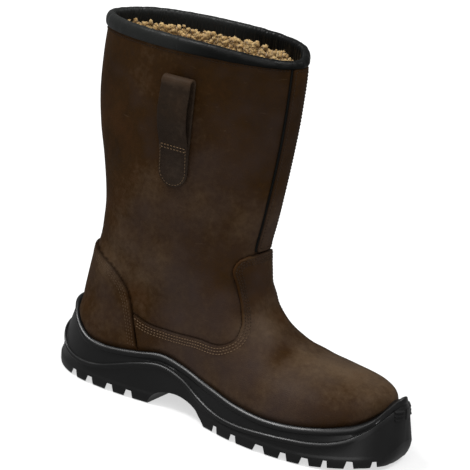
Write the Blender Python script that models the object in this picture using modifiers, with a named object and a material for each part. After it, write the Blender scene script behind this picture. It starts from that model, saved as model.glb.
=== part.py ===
# Right pull-on safety boot: hollow leather upper with overlays, moulded two-part sole, pull loops.
# Driving dimensions are in millimetres. x runs from the heel's back (0) to the toe, the lateral
# side is -y, the floor is z = 0. place() shifts this frame to the boot's own origin, in metres.
import math

import bmesh
import bpy
import numpy as np
from mathutils import Matrix

MM = 0.001

# Overall sizes
TOE_FRONT = 314.0
HEEL_BACK = -5.0
COLLAR_HEIGHT = 292.0
ORIGIN = np.array([153.3, -1.1, 0.0])

# Wall thicknesses and clearances
LEATHER = 2.2
OVERLAY = 1.6
OVERLAY_GAP = 0.5
GAP = 0.35
FLOOR_GAP = 0.8
OUTSOLE_WALL = 2.8
INSOLE_THICKNESS = 3.5
INSOLE_GAP = 1.2

# Number of columns round every ring, and how far they are pulled from the ends to the sides
COLUMNS = 48
SIDE_SHIFT = 0.15

# Search for the upper's surface: where it starts, how far it looks, nominal half widths, steps
SEARCH_START = np.array([100.0, 0.0])
SEARCH_REACH = 260.0
UPPER_HALF_WIDTH = 42.0
SOLE_HALF_WIDTH = 47.0
WIDEST_SHARE = 1.9
BISECTIONS = 44
CUT_REACH = 80.0

# Outline of the sole seen from above, one row for each station: x, lateral side, medial side
PLAN = np.array([
    (HEEL_BACK, 0.0, 0.0),
    (1.0, -18.0, 18.0),
    (14.0, -31.0, 30.0),
    (34.0, -40.5, 38.5),
    (62.0, -44.0, 40.5),
    (90.0, -43.0, 38.0),
    (115.0, -40.5, 35.0),
    (140.0, -42.0, 35.0),
    (165.0, -48.0, 40.0),
    (188.0, -53.5, 46.0),
    (210.0, -55.5, 50.0),
    (234.0, -54.5, 51.0),
    (256.0, -50.5, 48.5),
    (278.0, -41.5, 43.5),
    (295.0, -29.5, 35.5),
    (306.5, -13.0, 25.0),
    (TOE_FRONT, 7.0, 7.0),
])

# Heights along the sole: underside before the arch is cut, top of the tread, parting line between
# outsole and midsole, bed under the insole and top of the rim; then how far the rim leans inwards
# and how thick it is
SOLE_COLUMNS = ("x", "bottom", "floor", "mid", "bed", "rim", "lean", "thick")
SOLE = np.array([
    (HEEL_BACK, 4.0, 11.0, 42.0, 30.0, 57.0, 11.0, 8.0),
    (3.0, 1.0, 10.0, 32.0, 30.0, 57.0, 10.0, 7.5),
    (10.0, 0.0, 10.0, 25.0, 30.0, 56.0, 8.5, 6.5),
    (16.0, 0.0, 10.0, 21.0, 30.0, 52.0, 7.0, 5.5),
    (24.0, 0.0, 10.0, 18.5, 30.0, 45.5, 5.5, 4.5),
    (36.0, 0.0, 10.0, 17.5, 30.0, 38.5, 4.0, 3.5),
    (56.0, 0.0, 10.5, 19.5, 29.8, 35.3, 3.0, 3.5),
    (72.0, 0.0, 12.5, 24.5, 29.5, 36.5, 3.0, 3.5),
    (90.0, 0.0, 17.0, 30.5, 29.0, 39.0, 3.0, 3.8),
    (111.0, 0.0, 20.0, 34.5, 27.5, 42.2, 3.0, 4.2),
    (133.0, 0.0, 19.5, 30.3, 25.0, 38.8, 3.0, 4.0),
    (153.0, 0.0, 14.0, 21.8, 21.8, 34.3, 3.0, 3.5),
    (171.0, 0.0, 10.0, 16.6, 19.3, 31.5, 3.0, 3.5),
    (194.0, 0.0, 8.5, 15.2, 17.8, 28.3, 3.0, 3.5),
    (220.0, 0.0, 8.5, 16.8, 17.2, 26.5, 3.0, 3.5),
    (244.0, 0.0, 8.5, 18.6, 17.6, 28.0, 3.0, 3.5),
    (260.0, 0.6, 9.0, 20.0, 18.5, 30.4, 3.5, 3.5),
    (275.0, 2.0, 10.0, 23.3, 20.0, 33.4, 4.5, 4.0),
    (287.0, 3.2, 11.5, 29.0, 21.8, 37.0, 6.0, 5.0),
    (293.0, 4.0, 12.3, 34.0, 22.8, 40.2, 7.0, 5.8),
    (298.0, 4.0, 13.2, 40.0, 23.6, 46.0, 8.0, 6.5),
    (305.0, 3.8, 15.0, 48.0, 24.8, 54.0, 9.5, 7.5),
    (309.5, 11.0, 19.0, 49.6, 25.5, 55.0, 9.8, 7.8),
    (TOE_FRONT, 28.0, 26.0, 50.5, 26.0, 55.5, 10.0, 8.0),
])
WALL_LOW = 8.0

# Outer rings of the two sole pieces: the line that a ring follows, its rise and its inset
SIDE_RECESS = 1.8
OUTSOLE_SIDE = [
    ("bottom", 0.0, 3.0),
    ("bottom", 2.5, 0.8),
    ("bottom", 8.0, 0.6),
    ("bottom", 9.0, SIDE_RECESS),
    ("mid", -4.6, SIDE_RECESS),
    ("mid", -3.4, 0.2),
    ("mid", -1.0, 0.0),
    ("mid", 0.0, 0.9),
]
MIDSOLE_SIDE = [
    ("mid", GAP, 1.2),
    ("rim", -4.2, 1.4),
    ("rim", -3.2, 0.2),
    ("rim", -0.8, 0.0),
    ("rim", 0.0, 0.8),
]

# Ribs on both sides of the toe and the plain block between them: reach along the outline from the
# block's middle, low and high edge, and how far they stand out of the recessed side; then the reach
# of the block's middle from the first column
RELIEF_COLUMNS = ("near", "far", "low", "high", "proud")
TOE_RIBS = [
    (7.0, 15.5, 36.2, 37.8, 1.4),
    (7.0, 15.5, 33.4, 35.0, 1.4),
    (7.0, 15.5, 30.6, 32.2, 1.4),
]
TOE_BLOCK = (-4.5, 4.5, 31.5, 40.5, 1.8)
TOE_MIDDLE = 7.5
RELIEF_ROOT = 0.7
RELIEF_POINTS = 6

# Foot form, one row for each station: height of the ridge, its place across, and the roundness of
# the cross-section over the crown and at the flank
FOOT_COLUMNS = ("x", "ridge", "across", "crown", "flank")
FOOT = np.array([
    (0.0, 46.0, 0.0, 2.0, 2.2),
    (20.0, 60.0, 0.0, 2.0, 2.2),
    (50.0, 80.0, 0.0, 2.0, 2.2),
    (100.0, 98.0, 0.5, 2.0, 2.2),
    (140.0, 105.0, 1.5, 2.0, 2.2),
    (165.0, 97.0, 2.5, 2.0, 2.2),
    (178.0, 88.0, 3.0, 2.0, 2.2),
    (187.0, 81.0, 3.5, 2.0, 2.2),
    (197.0, 75.0, 4.0, 2.1, 2.2),
    (208.0, 70.0, 4.5, 2.2, 2.2),
    (223.0, 65.5, 5.0, 2.3, 2.3),
    (238.0, 62.5, 5.5, 2.4, 2.4),
    (252.0, 60.5, 6.0, 2.5, 2.5),
    (266.0, 59.0, 6.5, 2.5, 2.5),
    (277.0, 57.0, 7.0, 2.5, 2.5),
    (286.0, 54.5, 7.0, 2.4, 2.4),
    (292.0, 51.0, 7.0, 2.3, 2.3),
    (297.0, 45.0, 7.0, 2.2, 2.2),
])
FLANK_RISE = 4.0
MIN_CROWN = 12.0

# Shaft form, one row for each height: back and front of the section, half width, roundness
SHAFT_COLUMNS = ("z", "back", "front", "half", "round")
SHAFT = np.array([
    (20.0, 14.0, 125.0, 33.5, 2.2),
    (45.0, 14.0, 138.0, 34.5, 2.2),
    (60.0, 14.5, 147.0, 35.0, 2.2),
    (80.0, 18.0, 156.0, 35.5, 2.3),
    (100.0, 22.0, 163.0, 36.0, 2.4),
    (120.0, 25.5, 167.0, 37.0, 2.4),
    (140.0, 26.8, 170.5, 37.5, 2.4),
    (160.0, 25.0, 174.0, 38.5, 2.35),
    (180.0, 20.5, 177.0, 39.5, 2.25),
    (205.0, 13.5, 180.5, 40.5, 2.15),
    (230.0, 9.5, 183.0, 41.0, 2.1),
    (260.0, 9.0, 184.5, 41.0, 2.05),
    (COLLAR_HEIGHT, 11.5, 185.0, 41.0, 2.0),
])

# Softness of the join between foot and shaft, at the heel and at the throat
JOIN_HEEL = 6.0
JOIN_THROAT = 34.0
JOIN_RANGE = (105.0, 160.0)

# Rings of the upper from the bed to the collar: share of the bed's curve that a ring follows, and
# its heights at the heel's back and at the toe
RING_COLUMNS = ("follow", "back", "front")
RINGS = np.array([
    (1.00, 30.4, 25.9),
    (0.95, 36.0, 33.0),
    (0.80, 41.0, 42.0),
    (0.60, 45.0, 49.5),
    (0.40, 48.0, 55.6),
    (0.20, 50.5, 60.7),
    (0.05, 53.0, 63.6),
    (0.00, 55.5, 66.0),
    (0.00, 58.0, 70.5),
    (0.00, 61.0, 78.0),
    (0.00, 65.0, 85.0),
    (0.00, 73.0, 89.0),
    (0.00, 83.0, 95.0),
    (0.00, 95.0, 101.0),
    (0.00, 108.0, 111.0),
    (0.00, 121.0, 122.0),
    (0.00, 141.0, 141.0),
    (0.00, 160.0, 160.0),
    (0.00, 184.0, 184.0),
    (0.00, 214.0, 214.0),
    (0.00, 254.0, 254.0),
    (0.00, COLLAR_HEIGHT, COLLAR_HEIGHT),
])
VAMP_RINGS = 17
COUNTER_RINGS = 16
STRIP_FIRST_RING = 15
PIPING_FIRST_RING = 13

# Edges of the overlays seen from the side, as (x, z); stretch and points of their edges at the rim
PAST_TOE = TOE_FRONT + 10.0
PAST_HEEL = -10.0
VAMP_EDGE = [(186.0, 139.0), (170.0, 135.0), (163.0, 130.0), (161.0, 124.0), (166.0, 110.0),
             (173.0, 93.0), (176.5, 81.0), (175.0, 72.0), (168.0, 67.5), (145.0, 65.5),
             (115.0, 62.5), (96.0, 63.5), (81.5, 68.0), (90.4, 41.0)]
COUNTER_EDGE = [(PAST_HEEL, 109.0), (26.0, 108.0), (38.0, 104.5), (61.0, 96.0), (72.0, 86.5),
                (80.6, 68.0), (89.2, 41.0)]
VAMP_RIM = (91.0, TOE_FRONT, 26)
COUNTER_RIM = (89.4, 0.0, 28)
EDGE_GAP = 0.4
RIM_GAP = 1.2
STRIP_HALF_WIDTH = 9.5
STRIP_LOW = 136.6
PIPING_HALF_WIDTH = 2.2
BINDING_HEIGHT = 9.0
BINDING_WALL = 1.5
BINDING_FULL = 1.9
BINDING_CREST = 0.9
BINDING_SHOULDER = 2.0
BINDING_LIFT = 1.7

# Tread: grooves between the edge lugs, the same on both sides and all running backwards as they go
# in, and the arch's cut
GROOVE_COLUMNS = ("x", "width")
GROOVES = [(32.0, 5.0), (50.5, 6.0), (70.5, 6.5), (89.0, 6.5), (176.5, 3.5), (195.0, 5.0), (219.5, 8.5),
           (240.0, 6.0), (256.5, 7.0), (270.5, 4.0), (287.0, 6.5), (300.5, 4.5)]
GROOVE_DEPTH = 6.6
GROOVE_LENGTH = 28.0
GROOVE_PAST = 6.0
GROOVE_BELOW = 4.0
GROOVE_WAY = np.array([-0.47, 0.88])
ARCH = [(104.0, -2.0), (106.5, 4.0), (110.0, 9.0), (116.0, 12.5), (124.0, 14.3), (132.0, 14.9),
        (140.0, 14.0), (149.0, 11.5), (157.5, 7.0), (162.5, 2.0), (164.5, -2.0)]

# Pull loops
LOOP_WIDTH = 26.0
LOOP_CENTRE = 108.0
STRAP = 2.2
LOOP_TIP = 179.0
LOOP_STITCH = 209.0
LOOP_TOP = 263.5
LOOP_BOW = 7.0
LOOP_LEAN = 0.9
LOOP_GAP = 0.6
LOOP_SEAT = 0.2
LOOP_SEAM = 4.0
LOOP_STEPS = 8
LOOP_SPAN = (20.0, 90.0)
TIP_STEPS = 12


def column(table, names, name):
    return table[:, names.index(name)]


def smooth(at, knots, values):
    """Smooth curve through a table's rows, level beyond its ends."""
    at = np.clip(np.asarray(at, float), knots[0], knots[-1])
    slopes = np.gradient(values, knots)
    index = np.clip(np.searchsorted(knots, at) - 1, 0, len(knots) - 2)
    span = knots[index + 1] - knots[index]
    t = (at - knots[index]) / span
    rise = t * t * (3 - 2 * t)
    start = values[index] * (1 - rise) + values[index + 1] * rise
    return start + span * t * (1 - t) * (slopes[index] * (1 - t) - slopes[index + 1] * t)


def sole_height(name, x):
    """A named line of the sole, which never dips below the floor."""
    line = smooth(x, column(SOLE, SOLE_COLUMNS, "x"), column(SOLE, SOLE_COLUMNS, name))
    return np.maximum(line, 0.0)


def foot_value(name, x):
    return smooth(x, column(FOOT, FOOT_COLUMNS, "x"), column(FOOT, FOOT_COLUMNS, name))


def shaft_value(name, z):
    return smooth(z, column(SHAFT, SHAFT_COLUMNS, "z"), column(SHAFT, SHAFT_COLUMNS, name))


def outline(count=720):
    """Closed outline of the sole from above, heel to toe on the lateral side and back."""
    lateral = PLAN[:, :2]
    medial = PLAN[-2:0:-1][:, (0, 2)]
    points = np.vstack([lateral, medial])
    wrapped = np.vstack([points[-3:], points, points[:4]])
    steps = np.linalg.norm(np.diff(wrapped, axis=0), axis=1)
    along = np.concatenate([[0.0], np.cumsum(steps)])
    at = np.linspace(along[3], along[3 + len(points)], count, endpoint=False)
    return np.column_stack([smooth(at, along, wrapped[:, k]) for k in (0, 1)])


def inward_normals(ring):
    """Unit normals in plan that point into a closed ring of points."""
    tangent = np.roll(ring[:, :2], -1, axis=0) - np.roll(ring[:, :2], 1, axis=0)
    normal = np.column_stack([-tangent[:, 1], tangent[:, 0]])
    area = np.sum(ring[:, 0] * np.roll(ring[:, 1], -1) - np.roll(ring[:, 0], -1) * ring[:, 1])
    return np.sign(area) * normal / np.linalg.norm(normal, axis=1)[:, None]


OUTLINE = outline()
FEATHER = OUTLINE + inward_normals(OUTLINE) * (
    sole_height("lean", OUTLINE[:, 0]) + sole_height("thick", OUTLINE[:, 0]))[:, None]
TOE_INDEX = int(np.argmax(FEATHER[:, 0]))
LATERAL_SIDE = FEATHER[:TOE_INDEX + 1]
MEDIAL_SIDE = np.vstack([FEATHER[TOE_INDEX:], FEATHER[:1]])[::-1]


def foot_form(x, y, z):
    """Rough distance to the foot's form, negative inside."""
    across = foot_value("across", x)
    lateral = np.interp(x, LATERAL_SIDE[:, 0], LATERAL_SIDE[:, 1])
    medial = np.interp(x, MEDIAL_SIDE[:, 0], MEDIAL_SIDE[:, 1])
    width = np.maximum(np.where(y < across, across - lateral, medial - across), 1.0)
    ridge = foot_value("ridge", x)
    base = np.minimum(sole_height("rim", x) + FLANK_RISE, ridge - MIN_CROWN)
    rise = np.clip((z - base) / (ridge - base), 0.0, None)
    crown = foot_value("crown", x)
    flank = foot_value("flank", x)
    fill = (np.abs(y - across) / width) ** flank + rise ** crown
    reach = np.minimum(np.maximum((medial - lateral) / 2, 1.0), ridge - base)
    inside = (fill ** (2.0 / (flank + crown)) - 1.0) * reach
    beyond = np.maximum(FEATHER[:, 0].min() - x, x - FEATHER[:, 0].max())
    return np.where(beyond > 0, np.maximum(inside, 0.0) + beyond, inside)


def shaft_form(x, y, z):
    """Rough distance to the shaft's form, negative inside."""
    back, front = shaft_value("back", z), shaft_value("front", z)
    half, power = shaft_value("half", z), shaft_value("round", z)
    along = np.abs(2 * x - back - front) / (front - back)
    return ((along ** power + (np.abs(y) / half) ** power) ** (1 / power) - 1) * half


def boot(x, y, z):
    """The upper's own function: foot and shaft joined softly, zero on the outer surface."""
    foot, shaft = foot_form(x, y, z), shaft_form(x, y, z)
    share = np.clip((x - JOIN_RANGE[0]) / (JOIN_RANGE[1] - JOIN_RANGE[0]), 0, 1)
    soft = JOIN_HEEL + (JOIN_THROAT - JOIN_HEEL) * share * share * (3 - 2 * share)
    overlap = np.clip(1 - np.abs(foot - shaft) / soft, 0, None)
    return np.minimum(foot, shaft) - overlap * overlap * soft / 4


def normals(points, step=0.4):
    """Unit normals of the upper's function at points of its surface."""
    parts = []
    for axis in range(3):
        shift = np.zeros(3)
        shift[axis] = step
        parts.append(boot(*(points + shift).T) - boot(*(points - shift).T))
    gradient = np.column_stack(parts)
    return gradient / np.linalg.norm(gradient, axis=1)[:, None]


def march(start, direction, height, reach):
    """Distance along each plan direction at which a ring leaves the upper."""
    near = np.zeros(len(direction))
    far = np.full(len(direction), reach)
    for _ in range(BISECTIONS):
        middle = (near + far) / 2
        plan = start + direction * middle[:, None]
        inside = boot(plan[:, 0], plan[:, 1], height(plan[:, 0])) < 0
        near = np.where(inside, middle, near)
        far = np.where(inside, far, middle)
    return near


def column_angles():
    even = np.arange(COLUMNS) * 2 * math.pi / COLUMNS
    return even + SIDE_SHIFT * np.sin(2 * even)


def ring(height, offset=0.0):
    """Ring of points on the upper at height(x), pushed out along the surface's normals."""
    angles = column_angles()
    ends = march(SEARCH_START, np.array([[1.0, 0.0], [-1.0, 0.0]]), height, SEARCH_REACH)
    centre = SEARCH_START + np.array([(ends[0] - ends[1]) / 2, 0.0])
    half_length = (ends[0] + ends[1]) / 2
    direction = np.column_stack([half_length * np.cos(angles), UPPER_HALF_WIDTH * np.sin(angles)])
    plan = centre + direction * march(centre, direction, height, WIDEST_SHARE)[:, None]
    points = np.column_stack([plan, height(plan[:, 0])])
    return points + normals(points) * offset


def ring_height(row):
    follow, back, front = (row[RING_COLUMNS.index(name)] for name in ("follow", "back", "front"))
    bed_back, bed_front = sole_height("bed", 0.0), sole_height("bed", TOE_FRONT)

    def height(x):
        share = x / TOE_FRONT
        curve = sole_height("bed", x) - (bed_back + (bed_front - bed_back) * share)
        return back + (front - back) * share + follow * curve

    return height


def sole_ring(inset, height):
    """Ring round the sole at inset(x) from its outline and at height(x)."""
    half_length = TOE_FRONT / 2
    scaled = np.arctan2(OUTLINE[:, 1] / SOLE_HALF_WIDTH, (OUTLINE[:, 0] - half_length) / half_length)
    order = np.argsort(scaled)
    angles = (column_angles() + math.pi) % (2 * math.pi) - math.pi
    plan = np.column_stack([
        np.interp(angles, scaled[order], OUTLINE[order, k], period=2 * math.pi) for k in (0, 1)])
    moved = plan + inward_normals(plan) * inset(plan[:, 0])[:, None]
    return np.column_stack([moved, height(moved[:, 0])])


def wall_lean(x, z):
    """How far the sole's side leans in at height z."""
    share = np.clip((z - WALL_LOW) / (sole_height("rim", x) - WALL_LOW), 0, 1)
    return sole_height("lean", x) * share ** 2


def sole_side(name, rise, inset):
    """Ring on the sole's leaning side, rise above a named line and inset from it."""
    return sole_ring(lambda x: wall_lean(x, sole_height(name, x) + rise) + inset,
                     lambda x: sole_height(name, x) + rise)


def rim_seat(share):
    """Ring of the rim's inner face, just outside the upper, from the bed (0) to the top (1)."""
    return ring(lambda x: sole_height("bed", x) * (1 - share) + sole_height("rim", x) * share, GAP)


def place(points):
    return [tuple((np.asarray(p) - ORIGIN) * MM) for p in points]


def material(name, colour, roughness):
    made = bpy.data.materials.new(name)
    made.use_nodes = True
    shader = made.node_tree.nodes["Principled BSDF"]
    shader.inputs["Base Color"].default_value = (*colour, 1.0)
    shader.inputs["Roughness"].default_value = roughness
    shader.inputs["Metallic"].default_value = 0.0
    return made


def add_object(name, mesh, collection, finish=None):
    made = bpy.data.objects.new(name, mesh)
    collection.objects.link(made)
    if finish:
        mesh.materials.append(finish)
    return made


def loft(name, rings, lids=False, closed=False):
    """Mesh through rings of equal count; lids close both ends with strips across the boot."""
    count = len(rings[0])
    faces = []
    bands = len(rings) if closed else len(rings) - 1
    for j in range(bands):
        low, high = j * count, (j + 1) % len(rings) * count
        faces += [(low + i, low + (i + 1) % count, high + (i + 1) % count, high + i)
                  for i in range(count)]
    if lids:
        last = (len(rings) - 1) * count
        for i in range(count // 2):
            strip = [i, i + 1, (count - i - 1) % count, (count - i) % count]
            strip = list(dict.fromkeys(strip))
            faces += [tuple(strip[::-1]), tuple(last + k for k in strip)]
    mesh = bpy.data.meshes.new(name)
    mesh.from_pydata(place(np.vstack(rings)), [], faces)
    work = bmesh.new()
    work.from_mesh(mesh)
    bmesh.ops.recalc_face_normals(work, faces=work.faces)
    work.to_mesh(mesh)
    work.free()
    mesh.shade_smooth()
    mesh.set_sharp_from_angle(angle=math.radians(35))
    return mesh


def prism(name, points, axis, low, high, collection, finish=None):
    """Solid with an outline in the plane across axis; a hidden cutter if it has no finish."""
    def corner(point, along):
        values = list(point)
        values.insert(axis, along)
        return values

    work = bmesh.new()
    base = [work.verts.new(p) for p in place([corner(p, low) for p in points])]
    face = work.faces.new(base)
    grown = bmesh.ops.extrude_face_region(work, geom=[face])
    shift = [0.0, 0.0, 0.0]
    shift[axis] = (high - low) * MM
    moved = [v for v in grown["geom"] if isinstance(v, bmesh.types.BMVert)]
    bmesh.ops.translate(work, vec=shift, verts=moved)
    bmesh.ops.recalc_face_normals(work, faces=work.faces)
    mesh = bpy.data.meshes.new(name)
    work.to_mesh(mesh)
    work.free()
    made = add_object(name, mesh, collection, finish)
    return made if finish else hide(made)


def hide(cutter):
    cutter.hide_render = True
    cutter.display_type = "WIRE"
    return cutter


def boolean(target, cutter, operation):
    modifier = target.modifiers.new(cutter.name, "BOOLEAN")
    modifier.operation = operation
    modifier.solver = "EXACT"
    modifier.object = cutter


def solidify(target, thickness, offset):
    modifier = target.modifiers.new("Wall", "SOLIDIFY")
    modifier.thickness = thickness * MM
    modifier.offset = offset
    modifier.use_even_offset = True


def plug(inset, name, rise):
    """Ring of the socket that takes the midsole, upright below the parting line."""
    return sole_ring(lambda x: wall_lean(x, sole_height("mid", x)) + inset,
                     lambda x: sole_height(name, x) + rise)


def make_outsole(parts, cutters, finish):
    rings = [sole_side(*row) for row in OUTSOLE_SIDE]
    rings += [plug(OUTSOLE_WALL, "mid", 0.0), plug(OUTSOLE_WALL, "floor", 0.0)]
    outsole = add_object("outsole", loft("outsole", rings, lids=True), parts, finish)
    boolean(outsole, make_toe_relief(cutters), "UNION")
    boolean(outsole, prism("arch_cutter", ARCH, 1, -CUT_REACH, CUT_REACH, cutters), "DIFFERENCE")
    boolean(outsole, make_grooves(cutters), "DIFFERENCE")


def recess_ring(z):
    """Ring at height z on the recessed side between the lugs and the bead."""
    low, high = (sole_side(*row) for row in OUTSOLE_SIDE if row[-1] == SIDE_RECESS)
    share = (z - low[:, 2]) / (high[:, 2] - low[:, 2])
    return low + (high - low) * share[:, None]


def relief_corner(reach, z, depth):
    """Point at a reach along the recessed side from the block's middle, depth inside it."""
    ring_here = recess_ring(z)
    moved = ring_here[:, :2] + inward_normals(ring_here) * depth
    near_toe = np.arange(-COLUMNS // 4, COLUMNS // 4 + 1)
    base, moved = ring_here[near_toe, :2], moved[near_toe]
    along = np.concatenate([[0.0], np.cumsum(np.linalg.norm(np.diff(base, axis=0), axis=1))])
    along -= along[COLUMNS // 4] + TOE_MIDDLE
    return [np.interp(reach, along, moved[:, 0]), np.interp(reach, along, moved[:, 1]), z]


def relief_sections(row, side):
    """Square sections of a rib that follows the toe's outline, side +1 or -1 from its front."""
    size = dict(zip(RELIEF_COLUMNS, row))
    corners = ((size["low"], -size["proud"]), (size["high"], -size["proud"]),
               (size["high"], RELIEF_ROOT), (size["low"], RELIEF_ROOT))
    reaches = side * np.linspace(size["near"], size["far"], RELIEF_POINTS)
    return [np.array([relief_corner(reach, z, depth) for z, depth in corners]) for reach in reaches]


def make_toe_relief(cutters):
    """Three short ribs on each side of the toe and the plain block between them."""
    bars = [(TOE_BLOCK, 1.0)] + [(row, side) for row in TOE_RIBS for side in (-1.0, 1.0)]
    work = bmesh.new()
    for row, side in bars:
        verts = [[work.verts.new(p) for p in place(section)] for section in relief_sections(row, side)]
        for near, far in zip(verts, verts[1:]):
            for k in range(4):
                work.faces.new((near[k], near[(k + 1) % 4], far[(k + 1) % 4], far[k]))
        work.faces.new(verts[0])
        work.faces.new(verts[-1][::-1])
    bmesh.ops.recalc_face_normals(work, faces=work.faces)
    mesh = bpy.data.meshes.new("toe_relief")
    work.to_mesh(mesh)
    work.free()
    return hide(add_object("toe_relief", mesh, cutters))


def make_grooves(cutters):
    """Grooves that part the edge lugs on both sides."""
    mesh = bpy.data.meshes.new("groove_cutter")
    work = bmesh.new()
    toe = int(np.argmax(OUTLINE[:, 0]))
    for row in GROOVES:
        groove = dict(zip(GROOVE_COLUMNS, row))
        low = float(sole_height("bottom", groove["x"]))
        for first, last, side in ((0, toe, 1.0), (toe, len(OUTLINE), -1.0)):
            spot = first + int(np.argmin(np.abs(OUTLINE[first:last, 0] - groove["x"])))
            way = GROOVE_WAY * (1.0, side)
            plan = OUTLINE[spot] + way * (GROOVE_LENGTH / 2 - GROOVE_PAST)
            centre = place([(*plan, low + (GROOVE_DEPTH - GROOVE_BELOW) / 2)])[0]
            turn = Matrix.Rotation(math.atan2(way[1], way[0]), 3, "Z")
            box = bmesh.ops.create_cube(work, size=1.0)["verts"]
            size = (GROOVE_LENGTH * MM, groove["width"] * MM, (GROOVE_DEPTH + GROOVE_BELOW) * MM)
            bmesh.ops.scale(work, vec=size, verts=box)
            bmesh.ops.rotate(work, cent=(0, 0, 0), matrix=turn, verts=box)
            bmesh.ops.translate(work, vec=centre, verts=box)
    work.to_mesh(mesh)
    work.free()
    return hide(add_object("groove_cutter", mesh, cutters))


def make_midsole(parts, finish):
    inset = OUTSOLE_WALL + GAP
    rings = [plug(inset, "floor", FLOOR_GAP), plug(inset, "mid", GAP)]
    rings += [sole_side(*row) for row in MIDSOLE_SIDE]
    rings += [rim_seat(share) for share in (1.0, 0.5, 0.0)]
    add_object("midsole", loft("midsole", rings, lids=True), parts, finish)


def make_insole(parts, finish):
    def level(rise):
        return lambda x: sole_height("bed", x) + FLOOR_GAP + rise

    def edge(rise):
        return ring(level(rise), -LEATHER - INSOLE_GAP)

    low, high = edge(0.0), edge(INSOLE_THICKNESS)
    for points, rise in ((low, 0.0), (high, INSOLE_THICKNESS)):
        points[:, 2] = level(rise)(points[:, 0])
    add_object("insole", loft("insole", [low, high], lids=True), parts, finish)


def upper_rings(offset, first=0, last=len(RINGS)):
    return [ring(ring_height(row), offset) for row in RINGS[first:last]]


def make_upper(parts, finish):
    upper = add_object("upper", loft("upper", upper_rings(0.0)), parts, finish)
    solidify(upper, LEATHER, -1.0)


def overlay(name, cutter, parts, finish, first=0, last=len(RINGS)):
    """A leather piece cut from a shell that lies just outside the upper."""
    piece = add_object(name, loft(name, upper_rings(OVERLAY_GAP, first, last)), parts, finish)
    solidify(piece, OVERLAY, 1.0)
    boolean(piece, cutter, "INTERSECT")


def rim_line(first, last, count):
    """Lower edge of an overlay, just above the highest part of the rim's top."""
    xs = np.linspace(first, last, count)
    edges = [rim_seat(1.0), sole_side("rim", 0.0, 0.0)]
    heights = []
    for edge in edges:
        half = COLUMNS // 2
        for side in (edge[:half + 1][::-1], np.vstack([edge[half:], edge[:1]])):
            heights.append(np.interp(xs, side[:, 0], side[:, 2]))
    return list(zip(xs.tolist(), (np.max(heights, axis=0) + RIM_GAP).tolist()))


def make_overlays(parts, cutters, finish, trim):
    vamp_low = rim_line(*VAMP_RIM)
    vamp_ends = [(PAST_TOE, vamp_low[-1][1]), (PAST_TOE, VAMP_EDGE[0][1])]
    vamp = prism("vamp_cutter", VAMP_EDGE + vamp_low + vamp_ends, 1, -CUT_REACH, CUT_REACH, cutters)
    overlay("vamp", vamp, parts, finish, 0, VAMP_RINGS)
    counter_low = rim_line(*COUNTER_RIM)
    counter_outline = COUNTER_EDGE + counter_low + [(PAST_HEEL, counter_low[-1][1])]
    counter = prism("counter_cutter", counter_outline, 1, -CUT_REACH, CUT_REACH, cutters)
    overlay("heel_counter", counter, parts, finish, 0, COUNTER_RINGS)
    top = COLLAR_HEIGHT - BINDING_HEIGHT - EDGE_GAP
    strip_outline = [(-STRIP_HALF_WIDTH, STRIP_LOW), (STRIP_HALF_WIDTH, STRIP_LOW),
                     (STRIP_HALF_WIDTH, top), (-STRIP_HALF_WIDTH, top)]
    strip = prism("strip_cutter", strip_outline, 0, LOOP_CENTRE, PAST_TOE, cutters)
    overlay("front_strip", strip, parts, finish, STRIP_FIRST_RING)
    piping_low = COUNTER_EDGE[0][1] + EDGE_GAP
    piping_outline = [(-PIPING_HALF_WIDTH, piping_low), (PIPING_HALF_WIDTH, piping_low),
                      (PIPING_HALF_WIDTH, top), (-PIPING_HALF_WIDTH, top)]
    piping = prism("piping_cutter", piping_outline, 0, PAST_HEEL, LOOP_CENTRE, cutters)
    overlay("back_piping", piping, parts, trim, PIPING_FIRST_RING)


def make_binding(parts, finish):
    """Folded edging: a closed profile carried round the collar."""
    low = COLLAR_HEIGHT - BINDING_HEIGHT
    inside = -LEATHER - GAP

    def at(height, offset, lift=0.0):
        points = ring(lambda x: np.full_like(x, height), offset)
        points[:, 2] = height + lift
        return points

    rings = [
        at(low, GAP),
        at(low, GAP + BINDING_WALL),
        at(COLLAR_HEIGHT - BINDING_SHOULDER, GAP + BINDING_FULL),
        at(COLLAR_HEIGHT, GAP + BINDING_CREST, BINDING_LIFT),
        at(COLLAR_HEIGHT, inside - BINDING_CREST, BINDING_LIFT),
        at(COLLAR_HEIGHT - BINDING_SHOULDER, inside - BINDING_FULL),
        at(low, inside - BINDING_WALL),
        at(low, inside),
        at(COLLAR_HEIGHT, inside, GAP),
        at(COLLAR_HEIGHT, GAP, GAP),
    ]
    add_object("collar_binding", loft("collar_binding", rings, closed=True), parts, finish)


def shaft_side(z, side):
    """Place of the shaft's side, just clear of the leather, at a height."""
    return side * (float(shaft_value("half", z)) + LOOP_GAP)


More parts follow.
